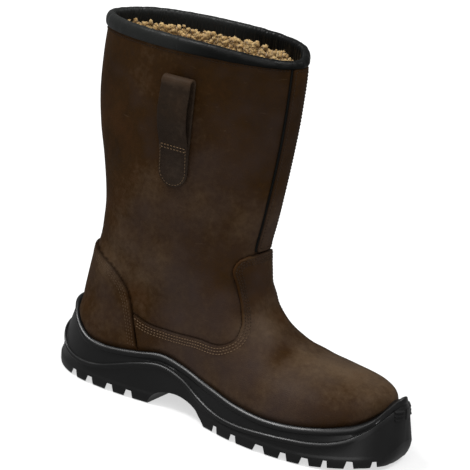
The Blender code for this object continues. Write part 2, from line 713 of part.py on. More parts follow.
def make_loop(name, side, parts, cutters, finish):
    """Folded strap sewn flat at its foot, standing off the shaft above the stitches."""
    def contour(inner):
        grow = STRAP if inner else 0.0
        rows = []
        top, foot = LOOP_TOP - grow, LOOP_STITCH + (LOOP_SEAM if inner else 0.0)
        for turn in np.linspace(0.0, 1.0, LOOP_STEPS + 1):
            z = foot + (top - foot) * turn
            bow = math.sin(math.pi * turn ** LOOP_LEAN) * LOOP_BOW + STRAP
            rows.append((max(bow - grow + STRAP, STRAP + (LOOP_SEAT if inner else 0.0)), z))
        return rows

    back = [(0.0, z) for z in np.linspace(LOOP_TOP - STRAP, LOOP_TIP, LOOP_STEPS)]
    outside = [(STRAP, LOOP_TIP), *contour(False), *back]
    half = LOOP_WIDTH / 2
    left, right = LOOP_CENTRE - half, LOOP_CENTRE + half
    solid = prism(name, profile_points(outside, side), 0, left, right, parts, finish)
    slot = prism(name + "_slot", profile_points(contour(True), side), 0, left - half, right + half,
                 cutters)
    boolean(solid, slot, "DIFFERENCE")
    tip = [(LOOP_CENTRE + half * math.cos(a), LOOP_TIP + half * (1 + math.sin(a)))
           for a in np.linspace(math.pi, 2 * math.pi, TIP_STEPS + 1)]
    tip += [(right, LOOP_TOP + half), (left, LOOP_TOP + half)]
    low, high = sorted(side * reach for reach in LOOP_SPAN)
    boolean(solid, prism(name + "_tip", tip, 1, low, high, cutters), "INTERSECT")


def profile_points(rows, side):
    return [(shaft_side(z, side) + side * out, z) for out, z in rows]


def main():
    for old in list(bpy.data.objects):
        bpy.data.objects.remove(old)
    parts = bpy.data.collections.new("safety_boot")
    cutters = bpy.data.collections.new("cutters")
    for collection in (parts, cutters):
        bpy.context.scene.collection.children.link(collection)
    leather = material("brown_leather", (0.050, 0.026, 0.014), 0.5)
    black = material("black_edging", (0.012, 0.012, 0.012), 0.6)
    rubber = material("black_sole", (0.010, 0.010, 0.011), 0.45)
    board = material("insole_felt", (0.35, 0.24, 0.12), 0.9)
    make_outsole(parts, cutters, rubber)
    make_midsole(parts, rubber)
    make_insole(parts, board)
    make_upper(parts, leather)
    make_overlays(parts, cutters, leather, black)
    make_binding(parts, black)
    make_loop("pull_loop_outer", -1.0, parts, cutters, leather)
    make_loop("pull_loop_inner", 1.0, parts, cutters, leather)


main()
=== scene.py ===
# Looks of a right pull-on safety boot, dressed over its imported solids.
# Sizes are in millimetres in the boot's own frame: x runs from the heel's back (0) to the toe, the
# lateral side is -y, the floor is z = 0. place() turns them into metres in the shared frame.
import math

import bmesh
import bpy
import numpy as np
from mathutils import Matrix, Vector, noise


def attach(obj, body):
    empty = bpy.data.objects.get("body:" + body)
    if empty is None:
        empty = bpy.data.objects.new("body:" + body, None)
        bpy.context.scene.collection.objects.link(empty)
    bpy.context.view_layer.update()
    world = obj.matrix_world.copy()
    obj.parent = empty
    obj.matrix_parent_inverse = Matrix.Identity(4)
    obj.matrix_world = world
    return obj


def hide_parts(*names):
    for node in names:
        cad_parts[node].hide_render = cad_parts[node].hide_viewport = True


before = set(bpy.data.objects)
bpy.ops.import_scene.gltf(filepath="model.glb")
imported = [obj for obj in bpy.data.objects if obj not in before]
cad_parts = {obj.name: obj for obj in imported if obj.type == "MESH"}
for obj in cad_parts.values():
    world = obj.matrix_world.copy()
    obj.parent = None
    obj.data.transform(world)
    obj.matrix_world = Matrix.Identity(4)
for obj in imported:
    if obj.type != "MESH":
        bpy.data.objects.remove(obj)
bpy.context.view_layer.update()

MM = 0.001
ORIGIN = np.array([153.3, -1.1, 0.0])
TOE_FRONT = 314.0
HEEL_BACK = -5.0
COLLAR_HEIGHT = 292.0
PAST_TOE = TOE_FRONT + 20.0
PAST_HEEL = -20.0

# Camera, from the photo: turn, height and roll in degrees, distance and target in millimetres
CAMERA_TURN = 31.41
CAMERA_RISE = 17.28
CAMERA_ROLL = 6.595
CAMERA_DISTANCE = 1499.0
CAMERA_TARGET = np.array([143.7, 0.0, 141.6])
CAMERA_ZOOM = 1.297
IMAGE_SIZE = 470
SENSOR = 36.0

# Stage: the floor's half size in metres, and suns as degrees round from the toe's way, degrees up, angle
# of the disc in degrees, and strength
FLOOR_HALF = 8.0
FLOOR_SHADE = 0.36
FLOOR_GLOW = 0.62
SKY_STRENGTH = 0.25
LIGHTS = {
    "key_light": (-66.0, 50.0, 50.0, 1.2),
    "left_light": (-148.0, 60.0, 18.0, 2.5),
    "right_light": (10.0, 62.0, 18.0, 1.5),
    "front_light": (-48.0, 14.0, 40.0, 0.3),
}

# Colours of the leathers as dark, middle, light, warm and cool, and of the thread as dark and light
LEATHER_COLOURS = [(0.011, 0.0054, 0.0020), (0.0240, 0.0112, 0.0034), (0.068, 0.0445, 0.0265),
                   (0.038, 0.0150, 0.0042), (0.027, 0.0175, 0.0145)]
STRAP_COLOURS = [(0.008, 0.0055, 0.0038), (0.018, 0.0118, 0.0078), (0.050, 0.036, 0.026),
                 (0.030, 0.0160, 0.0080), (0.018, 0.0140, 0.0120)]
THREAD_COLOURS = [(0.012, 0.006, 0.003), (0.150, 0.095, 0.052)]

# Angles in degrees at which the shading breaks
SHARP = 35.0
SOLE_SHARP = 40.0
WALL_SHARP = 50.0
SEWN_SHARP = 60.0
NEVER_SHARP = 180.0

# Wall thicknesses and clearances
LEATHER = 2.2
GAP = 0.35
FLOOR_GAP = 0.8
OUTSOLE_WALL = 2.8
INSOLE_THICKNESS = 3.5
INSOLE_GAP = 1.2
INSOLE_PROFILE = [(0.0, 0.4), (0.6, 0.0), (INSOLE_THICKNESS - 0.8, 0.0), (INSOLE_THICKNESS, 1.0)]

# Outline of the sole seen from above, one row for each station: x, lateral edge, medial edge
PLAN = np.array([
    (HEEL_BACK, 0.0, 0.0),
    (1.0, -18.0, 18.0),
    (14.0, -31.0, 30.0),
    (34.0, -40.5, 38.5),
    (62.0, -44.0, 40.5),
    (90.0, -43.0, 38.0),
    (115.0, -40.5, 35.0),
    (140.0, -42.0, 35.0),
    (165.0, -48.0, 40.0),
    (188.0, -53.5, 46.0),
    (210.0, -55.5, 50.0),
    (234.0, -54.5, 51.0),
    (256.0, -50.5, 48.5),
    (278.0, -41.5, 43.5),
    (295.0, -29.5, 35.5),
    (306.5, -13.0, 25.0),
    (TOE_FRONT, 7.0, 7.0),
])

# Heights along the sole, and how far the rim leans inwards and how thick it is
SOLE_COLUMNS = ("x", "bottom", "floor", "mid", "bed", "rim", "lean", "thick")
SOLE = np.array([
    (HEEL_BACK, 4.0, 11.0, 42.0, 30.0, 57.0, 11.0, 8.0),
    (3.0, 1.0, 10.0, 32.0, 30.0, 57.0, 10.0, 7.5),
    (10.0, 0.0, 10.0, 25.0, 30.0, 56.0, 8.5, 6.5),
    (16.0, 0.0, 10.0, 21.0, 30.0, 52.0, 7.0, 5.5),
    (24.0, 0.0, 10.0, 18.5, 30.0, 45.5, 5.5, 4.5),
    (36.0, 0.0, 10.0, 17.5, 30.0, 38.5, 4.0, 3.5),
    (56.0, 0.0, 10.5, 19.5, 29.8, 35.3, 3.0, 3.5),
    (72.0, 0.0, 12.5, 24.5, 29.5, 36.5, 3.0, 3.5),
    (90.0, 0.0, 17.0, 30.5, 29.0, 39.0, 3.0, 3.8),
    (111.0, 0.0, 20.0, 34.5, 27.5, 42.2, 3.0, 4.2),
    (133.0, 0.0, 19.5, 30.3, 25.0, 38.8, 3.0, 4.0),
    (153.0, 0.0, 14.0, 21.8, 21.8, 34.3, 3.0, 3.5),
    (171.0, 0.0, 10.0, 16.6, 19.3, 31.5, 3.0, 3.5),
    (194.0, 0.0, 8.5, 15.2, 17.8, 28.3, 3.0, 3.5),
    (220.0, 0.0, 8.5, 16.8, 17.2, 26.5, 3.0, 3.5),
    (244.0, 0.0, 8.5, 18.6, 17.6, 28.0, 3.0, 3.5),
    (260.0, 0.6, 9.0, 20.0, 18.5, 30.4, 3.5, 3.5),
    (275.0, 2.0, 10.0, 23.3, 20.0, 33.4, 4.5, 4.0),
    (287.0, 3.2, 11.5, 29.0, 21.8, 37.0, 6.0, 5.0),
    (293.0, 4.0, 12.3, 34.0, 22.8, 41.6, 7.0, 5.8),
    (298.0, 4.0, 13.2, 40.6, 23.6, 49.3, 8.0, 6.5),
    (305.0, 3.8, 15.0, 49.5, 24.8, 57.6, 9.5, 7.5),
    (309.5, 11.0, 19.0, 51.5, 25.5, 58.6, 9.8, 7.8),
    (TOE_FRONT, 28.0, 26.0, 52.5, 26.0, 58.8, 10.0, 8.0),
])
WALL_LOW = 8.0

# Outer rings of the two sole pieces: the line that a ring follows, its rise and inset along the sides,
# then its rise and inset round the toe, where lugs and beads run out into a smooth bumper
OUTSOLE_SIDE = [
    ("bottom", 0.0, 3.2, 0.0, 8.6),
    ("bottom", 0.4, 1.9, 1.4, 5.0),
    ("bottom", 1.3, 1.1, 3.8, 2.8),
    ("bottom", 2.8, 0.8, 6.6, 1.6),
    ("bottom", 7.4, 0.6, 9.6, 1.0),
    ("bottom", 8.1, 0.8, 9.9, 0.95),
    ("bottom", 8.9, 1.15, 10.2, 0.9),
    ("bottom", 9.7, 1.5, 10.5, 0.9),
    ("bottom", 10.3, 1.7, 11.0, 0.9),
    ("mid", -5.2, 1.8, -5.2, 0.9),
    ("mid", -4.5, 1.6, -4.5, 0.9),
    ("mid", -3.8, 0.9, -3.8, 0.9),
    ("mid", -3.0, 0.3, -3.0, 0.9),
    ("mid", -2.0, 0.0, -2.0, 0.9),
    ("mid", -1.1, 0.2, -1.1, 0.9),
    ("mid", -0.4, 0.8, -0.4, 0.95),
    ("mid", 0.0, 1.6, 0.0, 1.2),
]
MIDSOLE_SIDE = [
    ("mid", 0.12, 1.7, 0.12, 1.2),
    ("mid", 1.2, 1.6, 1.2, 0.9),
    ("rim", -6.2, 2.0, -5.6, 0.9),
    ("rim", -5.4, 1.8, -5.0, 0.85),
    ("rim", -4.6, 1.1, -4.4, 0.8),
    ("rim", -3.8, 0.4, -3.7, 0.7),
    ("rim", -3.0, 0.08, -2.9, 0.6),
    ("rim", -2.2, 0.0, -2.0, 0.6),
    ("rim", -1.4, 0.2, -1.1, 0.9),
    ("rim", -0.7, 0.65, -0.4, 1.5),
    ("rim", -0.1, 1.3, 0.2, 2.5),
    ("rim", 0.3, 2.2, 0.6, 4.0),
]
TOE_RUN = {"bottom": (296.0, 309.0), "mid": (276.0, 293.0), "rim": (288.0, 302.0)}
LIP_BACK = 5.0
LIP_RANGE = (284.0, 297.0)

# Ribs on both sides of the toe and the plain block between them
RELIEF_COLUMNS = ("near", "far", "low", "high", "proud")
TOE_RIBS = [
    (7.0, 15.5, 45.2, 45.8, 1.1),
    (7.0, 15.5, 42.3, 42.9, 1.1),
    (7.0, 15.5, 39.4, 40.0, 1.1),
]
TOE_BLOCK = (-4.5, 4.5, 39.0, 46.4, 0.4)
TOE_MIDDLE = 7.5
BUMPER_ROWS = (8, 9)
RELIEF_ROOT = 0.6
RELIEF_SPREAD = 0.9
RELIEF_POINTS = 10

# Tread: grooves between the edge lugs, chevrons down the middle, and the arch's cut
GROOVE_COLUMNS = ("x", "width")
GROOVES = [(32.0, 5.0), (50.5, 6.0), (70.5, 6.5), (89.0, 6.5), (176.5, 3.5), (195.0, 5.0), (219.5, 8.5),
           (240.0, 6.0), (256.5, 7.0), (270.5, 4.0), (287.0, 6.5), (300.5, 4.5)]
GROOVE_DEPTH = 6.6
GROOVE_LENGTH = 28.0
GROOVE_PAST = 6.0
GROOVE_BELOW = 4.0
GROOVE_DRAFT = 1.5
GROOVE_WAY = np.array([-0.47, 0.88])
CHEVRON_COLUMNS = ("x", "middle", "half")
CHEVRONS = [(30.0, -1.0, 12.0), (48.0, -1.0, 16.0), (66.0, -1.5, 17.0), (84.0, -2.0, 16.0),
            (180.0, -3.0, 20.0), (199.0, -3.0, 24.0), (218.0, -2.5, 25.0), (237.0, -1.5, 24.0),
            (256.0, 0.0, 21.0), (274.0, 2.0, 15.0)]
CHEVRON_WIDTH = 4.0
CHEVRON_RUN = -9.0
CHEVRON_DEPTH = 5.6
ARCH_POINTS = 40
ARCH_REACH = 80.0
ARCH = [(104.0, -2.0), (106.5, 4.0), (110.0, 9.0), (116.0, 12.5), (124.0, 14.3), (132.0, 14.9),
        (140.0, 14.0), (149.0, 11.5), (157.5, 7.0), (162.5, 2.0), (164.5, -2.0)]

# Foot form, one row for each station
FOOT_COLUMNS = ("x", "ridge", "across", "crown", "flank")
FOOT = np.array([
    (0.0, 46.0, 0.0, 2.0, 2.2),
    (20.0, 60.0, 0.0, 2.0, 2.2),
    (50.0, 80.0, 0.0, 2.0, 2.2),
    (100.0, 98.0, 0.5, 2.0, 2.2),
    (140.0, 105.0, 1.5, 2.0, 2.2),
    (165.0, 97.0, 2.5, 2.0, 2.2),
    (178.0, 88.0, 3.0, 2.0, 2.2),
    (187.0, 81.0, 3.5, 2.0, 2.2),
    (197.0, 75.0, 4.0, 2.1, 2.2),
    (208.0, 70.0, 4.5, 2.2, 2.2),
    (223.0, 65.5, 5.0, 2.3, 2.3),
    (238.0, 62.5, 5.5, 2.4, 2.4),
    (252.0, 60.5, 6.0, 2.5, 2.5),
    (266.0, 59.0, 6.5, 2.5, 2.5),
    (277.0, 57.0, 7.0, 2.5, 2.5),
    (286.0, 54.5, 7.0, 2.4, 2.4),
    (292.0, 51.0, 7.0, 2.3, 2.3),
    (297.0, 45.0, 7.0, 2.2, 2.2),
])
FLANK_RISE = 4.0
MIN_CROWN = 12.0

# Shaft form, one row for each height
SHAFT_COLUMNS = ("z", "back", "front", "half", "round")
SHAFT = np.array([
    (20.0, 14.0, 125.0, 33.5, 2.2),
    (45.0, 14.0, 138.0, 34.5, 2.2),
    (60.0, 14.5, 147.0, 35.0, 2.2),
    (80.0, 18.0, 156.0, 35.5, 2.3),
    (100.0, 22.0, 163.0, 36.0, 2.4),
    (120.0, 25.5, 167.0, 37.0, 2.4),
    (140.0, 26.8, 170.5, 37.5, 2.4),
    (160.0, 25.0, 174.0, 38.5, 2.35),
    (180.0, 20.5, 177.0, 39.5, 2.25),
    (205.0, 13.5, 180.5, 40.5, 2.15),
    (230.0, 9.5, 183.0, 41.0, 2.1),
    (260.0, 9.0, 184.5, 41.0, 2.05),
    (COLLAR_HEIGHT, 11.5, 185.0, 41.0, 2.0),
])
JOIN_HEEL = 6.0
JOIN_THROAT = 34.0
JOIN_RANGE = (105.0, 160.0)

# Rings of the upper up to the throat: share of the bed's curve, heights at the heel and at the toe
RING_COLUMNS = ("follow", "back", "front")
FOOT_RINGS = [
    (1.00, 30.4, 25.9),
    (0.95, 36.0, 33.0),
    (0.80, 41.0, 42.0),
    (0.60, 45.0, 49.5),
    (0.40, 48.0, 55.6),
    (0.20, 50.5, 60.7),
    (0.05, 53.0, 63.6),
    (0.00, 55.5, 66.0),
    (0.00, 58.0, 70.5),
    (0.00, 61.0, 78.0),
    (0.00, 65.0, 85.0),
    (0.00, 73.0, 89.0),
    (0.00, 83.0, 95.0),
    (0.00, 95.0, 101.0),
    (0.00, 108.0, 111.0),
    (0.00, 121.0, 122.0),
    (0.00, 134.0, 134.0),
]
SHAFT_STEPS = 14
RINGS_BETWEEN = 6
SKIN_COLUMNS = 240
SOLE_POINTS = 300
SIDE_SHIFT = 0.15

# Search for the upper's surface
SEARCH_START = np.array([100.0, 0.0])
SEARCH_REACH = 260.0
UPPER_HALF_WIDTH = 42.0
SOLE_HALF_WIDTH = 47.0
WIDEST_SHARE = 1.9
BISECTIONS = 30

# Edges of the overlays seen from the side, as (x, z)
VAMP_EDGE = [(186.0, 139.0), (170.0, 135.0), (163.0, 130.0), (161.0, 124.0), (166.0, 110.0),
             (173.0, 93.0), (176.5, 81.0), (175.0, 72.0), (168.0, 67.5), (145.0, 65.5),
             (115.0, 62.5), (96.0, 63.5), (81.5, 68.0)]
VAMP_BACK = [(90.4, 41.0), (96.0, 24.0)]
COUNTER_EDGE = [(PAST_HEEL, 109.0), (26.0, 108.0), (38.0, 104.5), (61.0, 96.0), (72.0, 86.5),
                (80.6, 68.0), (89.2, 41.0), (94.8, 24.0)]
STRIP_HALF_WIDTH = 9.5
STRIP_LOW = 136.4
STRIP_HIGH = 283.0
BELOW_RIM = 4.0
TUCK = 5.0
OVERLAY_TOP = 2.1
COUNTER_TOP = 2.4
OVERLAY_ROOT = 0.1
EDGE_ROUND = 0.7
EDGE_SHARE = 0.55
CURVE_POINTS = 220

# Seams: distance of each stitch row from its edge, and the stitches' sizes
STITCH_ROWS = (2.4, 4.6, 6.8)
SEAM_START = 2.0
STITCH_PITCH = 2.7
STITCH_LENGTH = 1.9
STITCH_RADIUS = 0.42
VAMP_THREAD = 0.55
COUNTER_THREAD = 0.28
DARK_THREAD = 0.05
THREAD_RANGE = (66.0, 90.0)
STRIP_SEAM = 2.0
STRIP_SEAM_START = 3.0
EDGING_SEAM = 2.2
SEAM_BELOW_EDGING = 1.0
SEAM_ABOVE_RIM = 3.5

# One stitch: rows of reach, lift and size along it, and the sides of its thread
STITCH_SECTIONS = [(-1.0, -0.5, 0.35), (-0.7, 0.15, 0.9), (0.0, 0.5, 1.0), (0.7, 0.15, 0.9),
                   (1.0, -0.5, 0.35)]
STITCH_SIDES = 6

# Edges of the overlays: painted shade along their seams, their cut edges and the sole's rim, and lighter,
# warmer raw edges at the throat
# Painted shade: strength and reach of the dark line on the upper along the overlays' edges
SEAM_SHADE = 0.8
SEAM_SHADE_REACH = 1.5
TUCKED = 0.12
CUT_EDGE = 1.2
THROAT_X = (150.0, 160.0)
THROAT_Z = (72.0, 88.0)
THROAT_TOP = 134.0
RIM_SHADE = 0.5
EDGE_SHADE = 0.6
RAW_LIGHT = 0.2
RAW_WARM = 0.5

# Cords down the back seam and beside the front strip
BACK_PIPING_LOW = 109.4
BACK_CORD = 2.0
BACK_CORD_OUT = 0.9
BACK_CORD_FLAT = 0.75
STRIP_CORD = 0.85
STRIP_CORD_OUT = 0.5
STRIP_CORD_GAP = 0.5
STRIP_CORD_SIDES = 8
PIPING_POINTS = 90
SHAFT_MIDDLE = 98.0

# Main creases: points near the leather, depth and width
CREASES = [
    ([(174, -27, 124), (181, -29, 104), (190, -32, 84), (201, -37, 67)], 1.5, 8.0),
    ([(174, 27, 124), (182, 29, 103), (191, 32, 83), (203, 38, 66)], 1.4, 8.0),
    ([(150, -35, 112), (165, -22, 106), (172, 0, 104), (165, 22, 106), (150, 35, 113)], 0.9, 6.0),
    ([(160, -33, 92), (176, -18, 91), (180, 2, 90), (176, 20, 92), (160, 33, 94)], 0.7, 6.0),
    ([(219, -46, 42), (211, -25, 63), (207, 4, 71), (211, 28, 63), (218, 43, 44)], 0.5, 6.5),
    ([(235, -46, 42), (228, -25, 59), (224, 5, 65), (229, 30, 58), (236, 44, 42)], 0.4, 6.0),
    ([(26, -14, 122), (36, -25, 118), (60, -34, 111), (88, -38, 112)], 0.8, 7.5),
    ([(26, 14, 123), (38, 25, 118), (62, 34, 112), (90, 38, 114)], 0.8, 7.5),
    ([(30, -20, 146), (60, -35, 138), (100, -38, 133), (132, -36, 138)], 0.7, 10.0),
    ([(30, 20, 148), (60, 35, 140), (100, 38, 135), (132, 36, 139)], 0.7, 10.0),
    ([(60, -36, 82), (90, -38, 86), (120, -37, 84), (146, -34, 92)], 0.7, 9.0),
    ([(60, 36, 84), (90, 38, 87), (120, 37, 86), (146, 34, 93)], 0.7, 9.0),
]
CREASE_POINTS = 28
RIDGE_SHARE = 0.5
RIDGE_AWAY = 1.9
CREASE_FADE = 0.7
# Painted shade and light: how much the relief darkens troughs and lightens ridges
RELIEF_LIGHT = 0.06
WAVE_SCALE = 1 / 62.0
WAVE_DEPTH = 0.55
WAVE_ABOVE_RIM = (2.0, 14.0)
WAVE_BELOW_COLLAR = (0.0, 25.0)

# Lighter, warmer or cooler patches of the leather: place, reach, lightness, warmth
# Many lightness values here are painted light and shade: lighter tops of vamp and toe, lit ridges and
# darker hollows of folds, a shaded dimple on the vamp, a darker outer side of the shaft; the others, and
# most of the warmth, are the leather's own patches
PATCHES = [
    # Painted light: lighter top of the vamp and toe, in these two patches
    ((262, -4, 60), 36.0, 0.26, -0.06),
    ((224, -10, 66), 28.0, 0.34, 0.0),
    ((264, -44, 38), 24.0, -0.22, 0.0),
    ((228, -50, 36), 28.0, 0.14, -0.36),
    # Painted shade: a dimple on the vamp's outer side
    ((208, -17, 68), 11.0, -0.32, 0.04),
    ((100, -36, 112), 13.0, 0.16, 0.12),
    ((114, -36, 104), 11.0, 0.12, 0.04),
    ((34, -28, 60), 13.0, 0.0, 0.34),
    ((185, -26, 80), 12.0, 0.10, -0.1),
    ((244, -46, 37), 20.0, 0.06, -0.12),
    ((137, -38, 54), 24.0, 0.22, -0.32),
    ((44, -32, 67), 24.0, 0.05, -0.28),
    ((48, -32, 100), 14.0, 0.30, 0.0),
    ((64, -36, 143), 30.0, 0.10, -0.16),
    ((160, -32, 98), 14.0, -0.03, -0.22),
    ((174, -10, 112), 16.0, -0.08, -0.16),
    ((160, -30, 215), 34.0, 0.02, -0.22),
    # Painted light: the lit rise above that dimple
    ((192, -22, 86), 18.0, 0.36, -0.1),
    ((172, -20, 112), 20.0, -0.16, 0.0),
    ((180, -44, 52), 36.0, 0.12, -0.34),
    # Painted shade: darker back of the shaft's outer side
    ((14, -28, 205), 60.0, -0.14, 0.10),
    ((50, -34, 262), 34.0, -0.10, 0.0),
    ((34, -30, 150), 40.0, -0.06, 0.12),
    ((20, -25, 72), 26.0, 0.02, 0.0),
    ((120, -40, 92), 34.0, 0.12, -0.40),
    ((110, -40, 128), 28.0, 0.00, -0.22),
    ((80, -38, 84), 20.0, 0.05, 0.25),
    ((150, -36, 240), 56.0, -0.10, 0.0),
    ((124, -40, 186), 36.0, 0.14, -0.24),
    ((182, -5, 250), 44.0, -0.26, 0.0),
    ((175, -5, 160), 26.0, 0.18, -0.2),
    ((262, 22, 58), 40.0, 0.30, 0.0),
    ((30, 30, 160), 45.0, 0.08, 0.20),
    ((120, 40, 100), 40.0, 0.10, -0.30),
]

# Pull loops
LOOP_WIDTH = 26.0
LOOP_CENTRE = 108.0
STRAP = 2.0
LOOP_TIP = 179.0
LOOP_STITCH = 212.0
LOOP_TOP = 264.5
LOOP_BOW = 6.8
LOOP_GAP = 0.6
FOLD_RISE = 3.4
FOLD_CLOSING = 0.25
TAB_MARGIN = 1.5
LOOP_THREADS = (0.35, 0.85, 0.7)
LOOP_SEAMS = (0.4, 3.0)
LOOP_PITCH = 2.6
LOOP_STITCH_RADIUS = 0.4
TAB_RAMP = 10.0
TAB_SEAM_TOP = 1.0
LOOP_END = 6.0
BOW_FULL = 0.55
# Painted highlight: how much lighter the strap is at its top fold, and how far down that fades
FOLD_HIGHLIGHT = 0.35
FOLD_FADE = 9.0
STRAP_TONE = 0.4
STRAP_WARMTH = 0.3
STRAP_DARKER = 0.02
STRAP_COOLER = 0.05
STRAP_HALF_SECTION = [(-1.0, -0.45), (-0.97, -0.85), (-0.9, -1.0), (-0.45, -1.0), (0.0, -1.0), (0.45, -1.0),
                      (0.9, -1.0), (0.97, -0.85), (1.0, -0.45)]

# Collar edging: rows of (height below the collar, offset from the leather) round its fold
BINDING_HEIGHT = 9.0
BINDING_PROFILE = [(9.0, 0.2), (8.9, 1.0), (8.2, 1.6), (6.8, 2.2), (5.0, 2.6), (3.2, 2.7), (1.6, 2.4),
                   (0.2, 1.8), (-0.9, 1.0), (-1.6, 0.0), (-1.8, -1.1), (-1.5, -2.4), (-0.6, -3.7),
                   (0.8, -4.4), (2.6, -4.6), (5.4, -4.4), (8.4, -4.2), (9.3, -3.7), (9.3, -2.7)]
PUCKER = 0.55
GATHER = 0.55
EDGING_COLUMNS = 900
# Dust and painted sheen: how much lighter the edging is towards the heel, and where that fades
EDGING_DUST_AND_SHEEN = 0.36
DUST_AND_SHEEN_RANGE = (85.0, 135.0)
MEDIAL_LIFT = 2.4
MEDIAL_RANGE = (0.0, 0.9)
WAVE_FULL = 1.5
GATHER_RANGE = (0.0, 3.0)
LAP_ANGLE = math.radians(-83.0)
LAP_WIDTH = math.radians(5.0)
LAP_STEP = 0.5
LAP_RISE = (-1.0, -0.9)
LAP_FALL = (0.5, 3.0)
WAVES_ROUND = 9.0
GATHERS_ROUND = 26.0
CREST_DROP = 5.0
CREST_WAVE = 0.6
CREST_GATHER = 0.25

# Dip of the collar at the front of the outer side
COLLAR_DIP = 5.5
DIP_START = (-1.5, -0.3)
DIP_END = (-0.1, 0.55)
DIP_FROM = 262.0
DIP_FADE = 12.0

# Edging's inner band, taller at the front
# The taller front of the band also stands for shade inside the collar's front: painted shade as black
# edging reaching further down
BAND_FRONT = 6.0
BAND_RANGE = (0.62, 0.95)
BAND_DROP = (2.0, 8.0)

# Fleece
FLEECE_GAP = 0.6
FLEECE_BUMP = 2.6
FLEECE_CELL = 1 / 4.2
LINING_SEAM = 200.0
LUMPS = 2400
LUMP_LOW = 250.0
LUMP_DENSE = 281.0
LUMP_HIGH = 283.5
LUMP_SEAT = 1.25
LUMP_RADIUS = (1.2, 2.2)
LUMP_UNEVEN = 0.18
LUMP_LIMIT = (0.7, 1.3)
LUMP_STRAY = 1.0
LUMP_STRETCH = (0.8, 1.2)
LINING_FADE = (277.0, 282.0)
LINING_BACK = 0.1
LINING_TOP = 3.0
FOOT_STEP = 3
RANDOM = np.random.default_rng(20)


# Curves and forms shared with the solids


def column(table, names, name):
    return table[:, names.index(name)]


def smooth(at, knots, values):
    """Smooth curve through a table's rows, level beyond its ends."""
    at = np.clip(np.asarray(at, float), knots[0], knots[-1])
    slopes = np.gradient(values, knots)
    index = np.clip(np.searchsorted(knots, at) - 1, 0, len(knots) - 2)
    span = knots[index + 1] - knots[index]
    t = (at - knots[index]) / span
    rise = t * t * (3 - 2 * t)
    start = values[index] * (1 - rise) + values[index + 1] * rise
    return start + span * t * (1 - t) * (slopes[index] * (1 - t) - slopes[index + 1] * t)


def ease(low, high, value):
    """0 below low, 1 above high, smooth between."""
    share = np.clip((value - low) / (high - low), 0, 1)
    return share * share * (3 - 2 * share)


def unit(vectors):
    return vectors / np.linalg.norm(vectors, axis=-1, keepdims=True)


def lengths_along(points):
    """Distance of each point from the first, measured along the line through them."""
    return np.concatenate([[0.0], np.cumsum(np.linalg.norm(np.diff(points, axis=0), axis=1))])


def sole_height(name, x):
    line = smooth(x, column(SOLE, SOLE_COLUMNS, "x"), column(SOLE, SOLE_COLUMNS, name))
    return np.maximum(line, 0.0)


def foot_value(name, x):
    return smooth(x, column(FOOT, FOOT_COLUMNS, "x"), column(FOOT, FOOT_COLUMNS, name))


def shaft_value(name, z):
    return smooth(z, column(SHAFT, SHAFT_COLUMNS, "z"), column(SHAFT, SHAFT_COLUMNS, name))


def outline(count=720):
    """Closed outline of the sole from above, heel to toe on the lateral side and back."""
    points = np.vstack([PLAN[:, :2], PLAN[-2:0:-1][:, (0, 2)]])
    wrapped = np.vstack([points[-3:], points, points[:4]])
    along = lengths_along(wrapped)
    at = np.linspace(along[3], along[3 + len(points)], count, endpoint=False)
    return np.column_stack([smooth(at, along, wrapped[:, k]) for k in (0, 1)])


def inward_normals(ring):
    """Unit normals in plan that point into a closed ring of points."""
    tangent = np.roll(ring[:, :2], -1, axis=0) - np.roll(ring[:, :2], 1, axis=0)
    normal = np.column_stack([-tangent[:, 1], tangent[:, 0]])
    area = np.sum(ring[:, 0] * np.roll(ring[:, 1], -1) - np.roll(ring[:, 0], -1) * ring[:, 1])
    return np.sign(area) * unit(normal)


OUTLINE = outline()
FEATHER = OUTLINE + inward_normals(OUTLINE) * (
    sole_height("lean", OUTLINE[:, 0]) + sole_height("thick", OUTLINE[:, 0]))[:, None]
TOE_INDEX = int(np.argmax(FEATHER[:, 0]))
LATERAL_SIDE = FEATHER[:TOE_INDEX + 1]
MEDIAL_SIDE = np.vstack([FEATHER[TOE_INDEX:], FEATHER[:1]])[::-1]


def foot_form(x, y, z):
    """Rough distance to the foot's form, negative inside."""
    across = foot_value("across", x)
    lateral = np.interp(x, LATERAL_SIDE[:, 0], LATERAL_SIDE[:, 1])
    medial = np.interp(x, MEDIAL_SIDE[:, 0], MEDIAL_SIDE[:, 1])
    width = np.maximum(np.where(y < across, across - lateral, medial - across), 1.0)
    ridge = foot_value("ridge", x)
    base = np.minimum(sole_height("rim", x) + FLANK_RISE, ridge - MIN_CROWN)
    rise = np.clip((z - base) / (ridge - base), 0.0, None)
    crown = foot_value("crown", x)
    flank = foot_value("flank", x)
    fill = (np.abs(y - across) / width) ** flank + rise ** crown
    reach = np.minimum(np.maximum((medial - lateral) / 2, 1.0), ridge - base)
    inside = (fill ** (2.0 / (flank + crown)) - 1.0) * reach
    beyond = np.maximum(FEATHER[:, 0].min() - x, x - FEATHER[:, 0].max())
    return np.where(beyond > 0, np.maximum(inside, 0.0) + beyond, inside)


def shaft_form(x, y, z):
    """Rough distance to the shaft's form, negative inside."""
    back, front = shaft_value("back", z), shaft_value("front", z)
    half, power = shaft_value("half", z), shaft_value("round", z)
    along = np.abs(2 * x - back - front) / (front - back)
    return ((along ** power + (np.abs(y) / half) ** power) ** (1 / power) - 1) * half


def boot(x, y, z):
    """The upper's own function: foot and shaft joined softly, zero on the outer surface."""
    foot, shaft = foot_form(x, y, z), shaft_form(x, y, z)
    soft = JOIN_HEEL + (JOIN_THROAT - JOIN_HEEL) * ease(*JOIN_RANGE, x)
    overlap = np.clip(1 - np.abs(foot - shaft) / soft, 0, None)
    return np.minimum(foot, shaft) - overlap * overlap * soft / 4


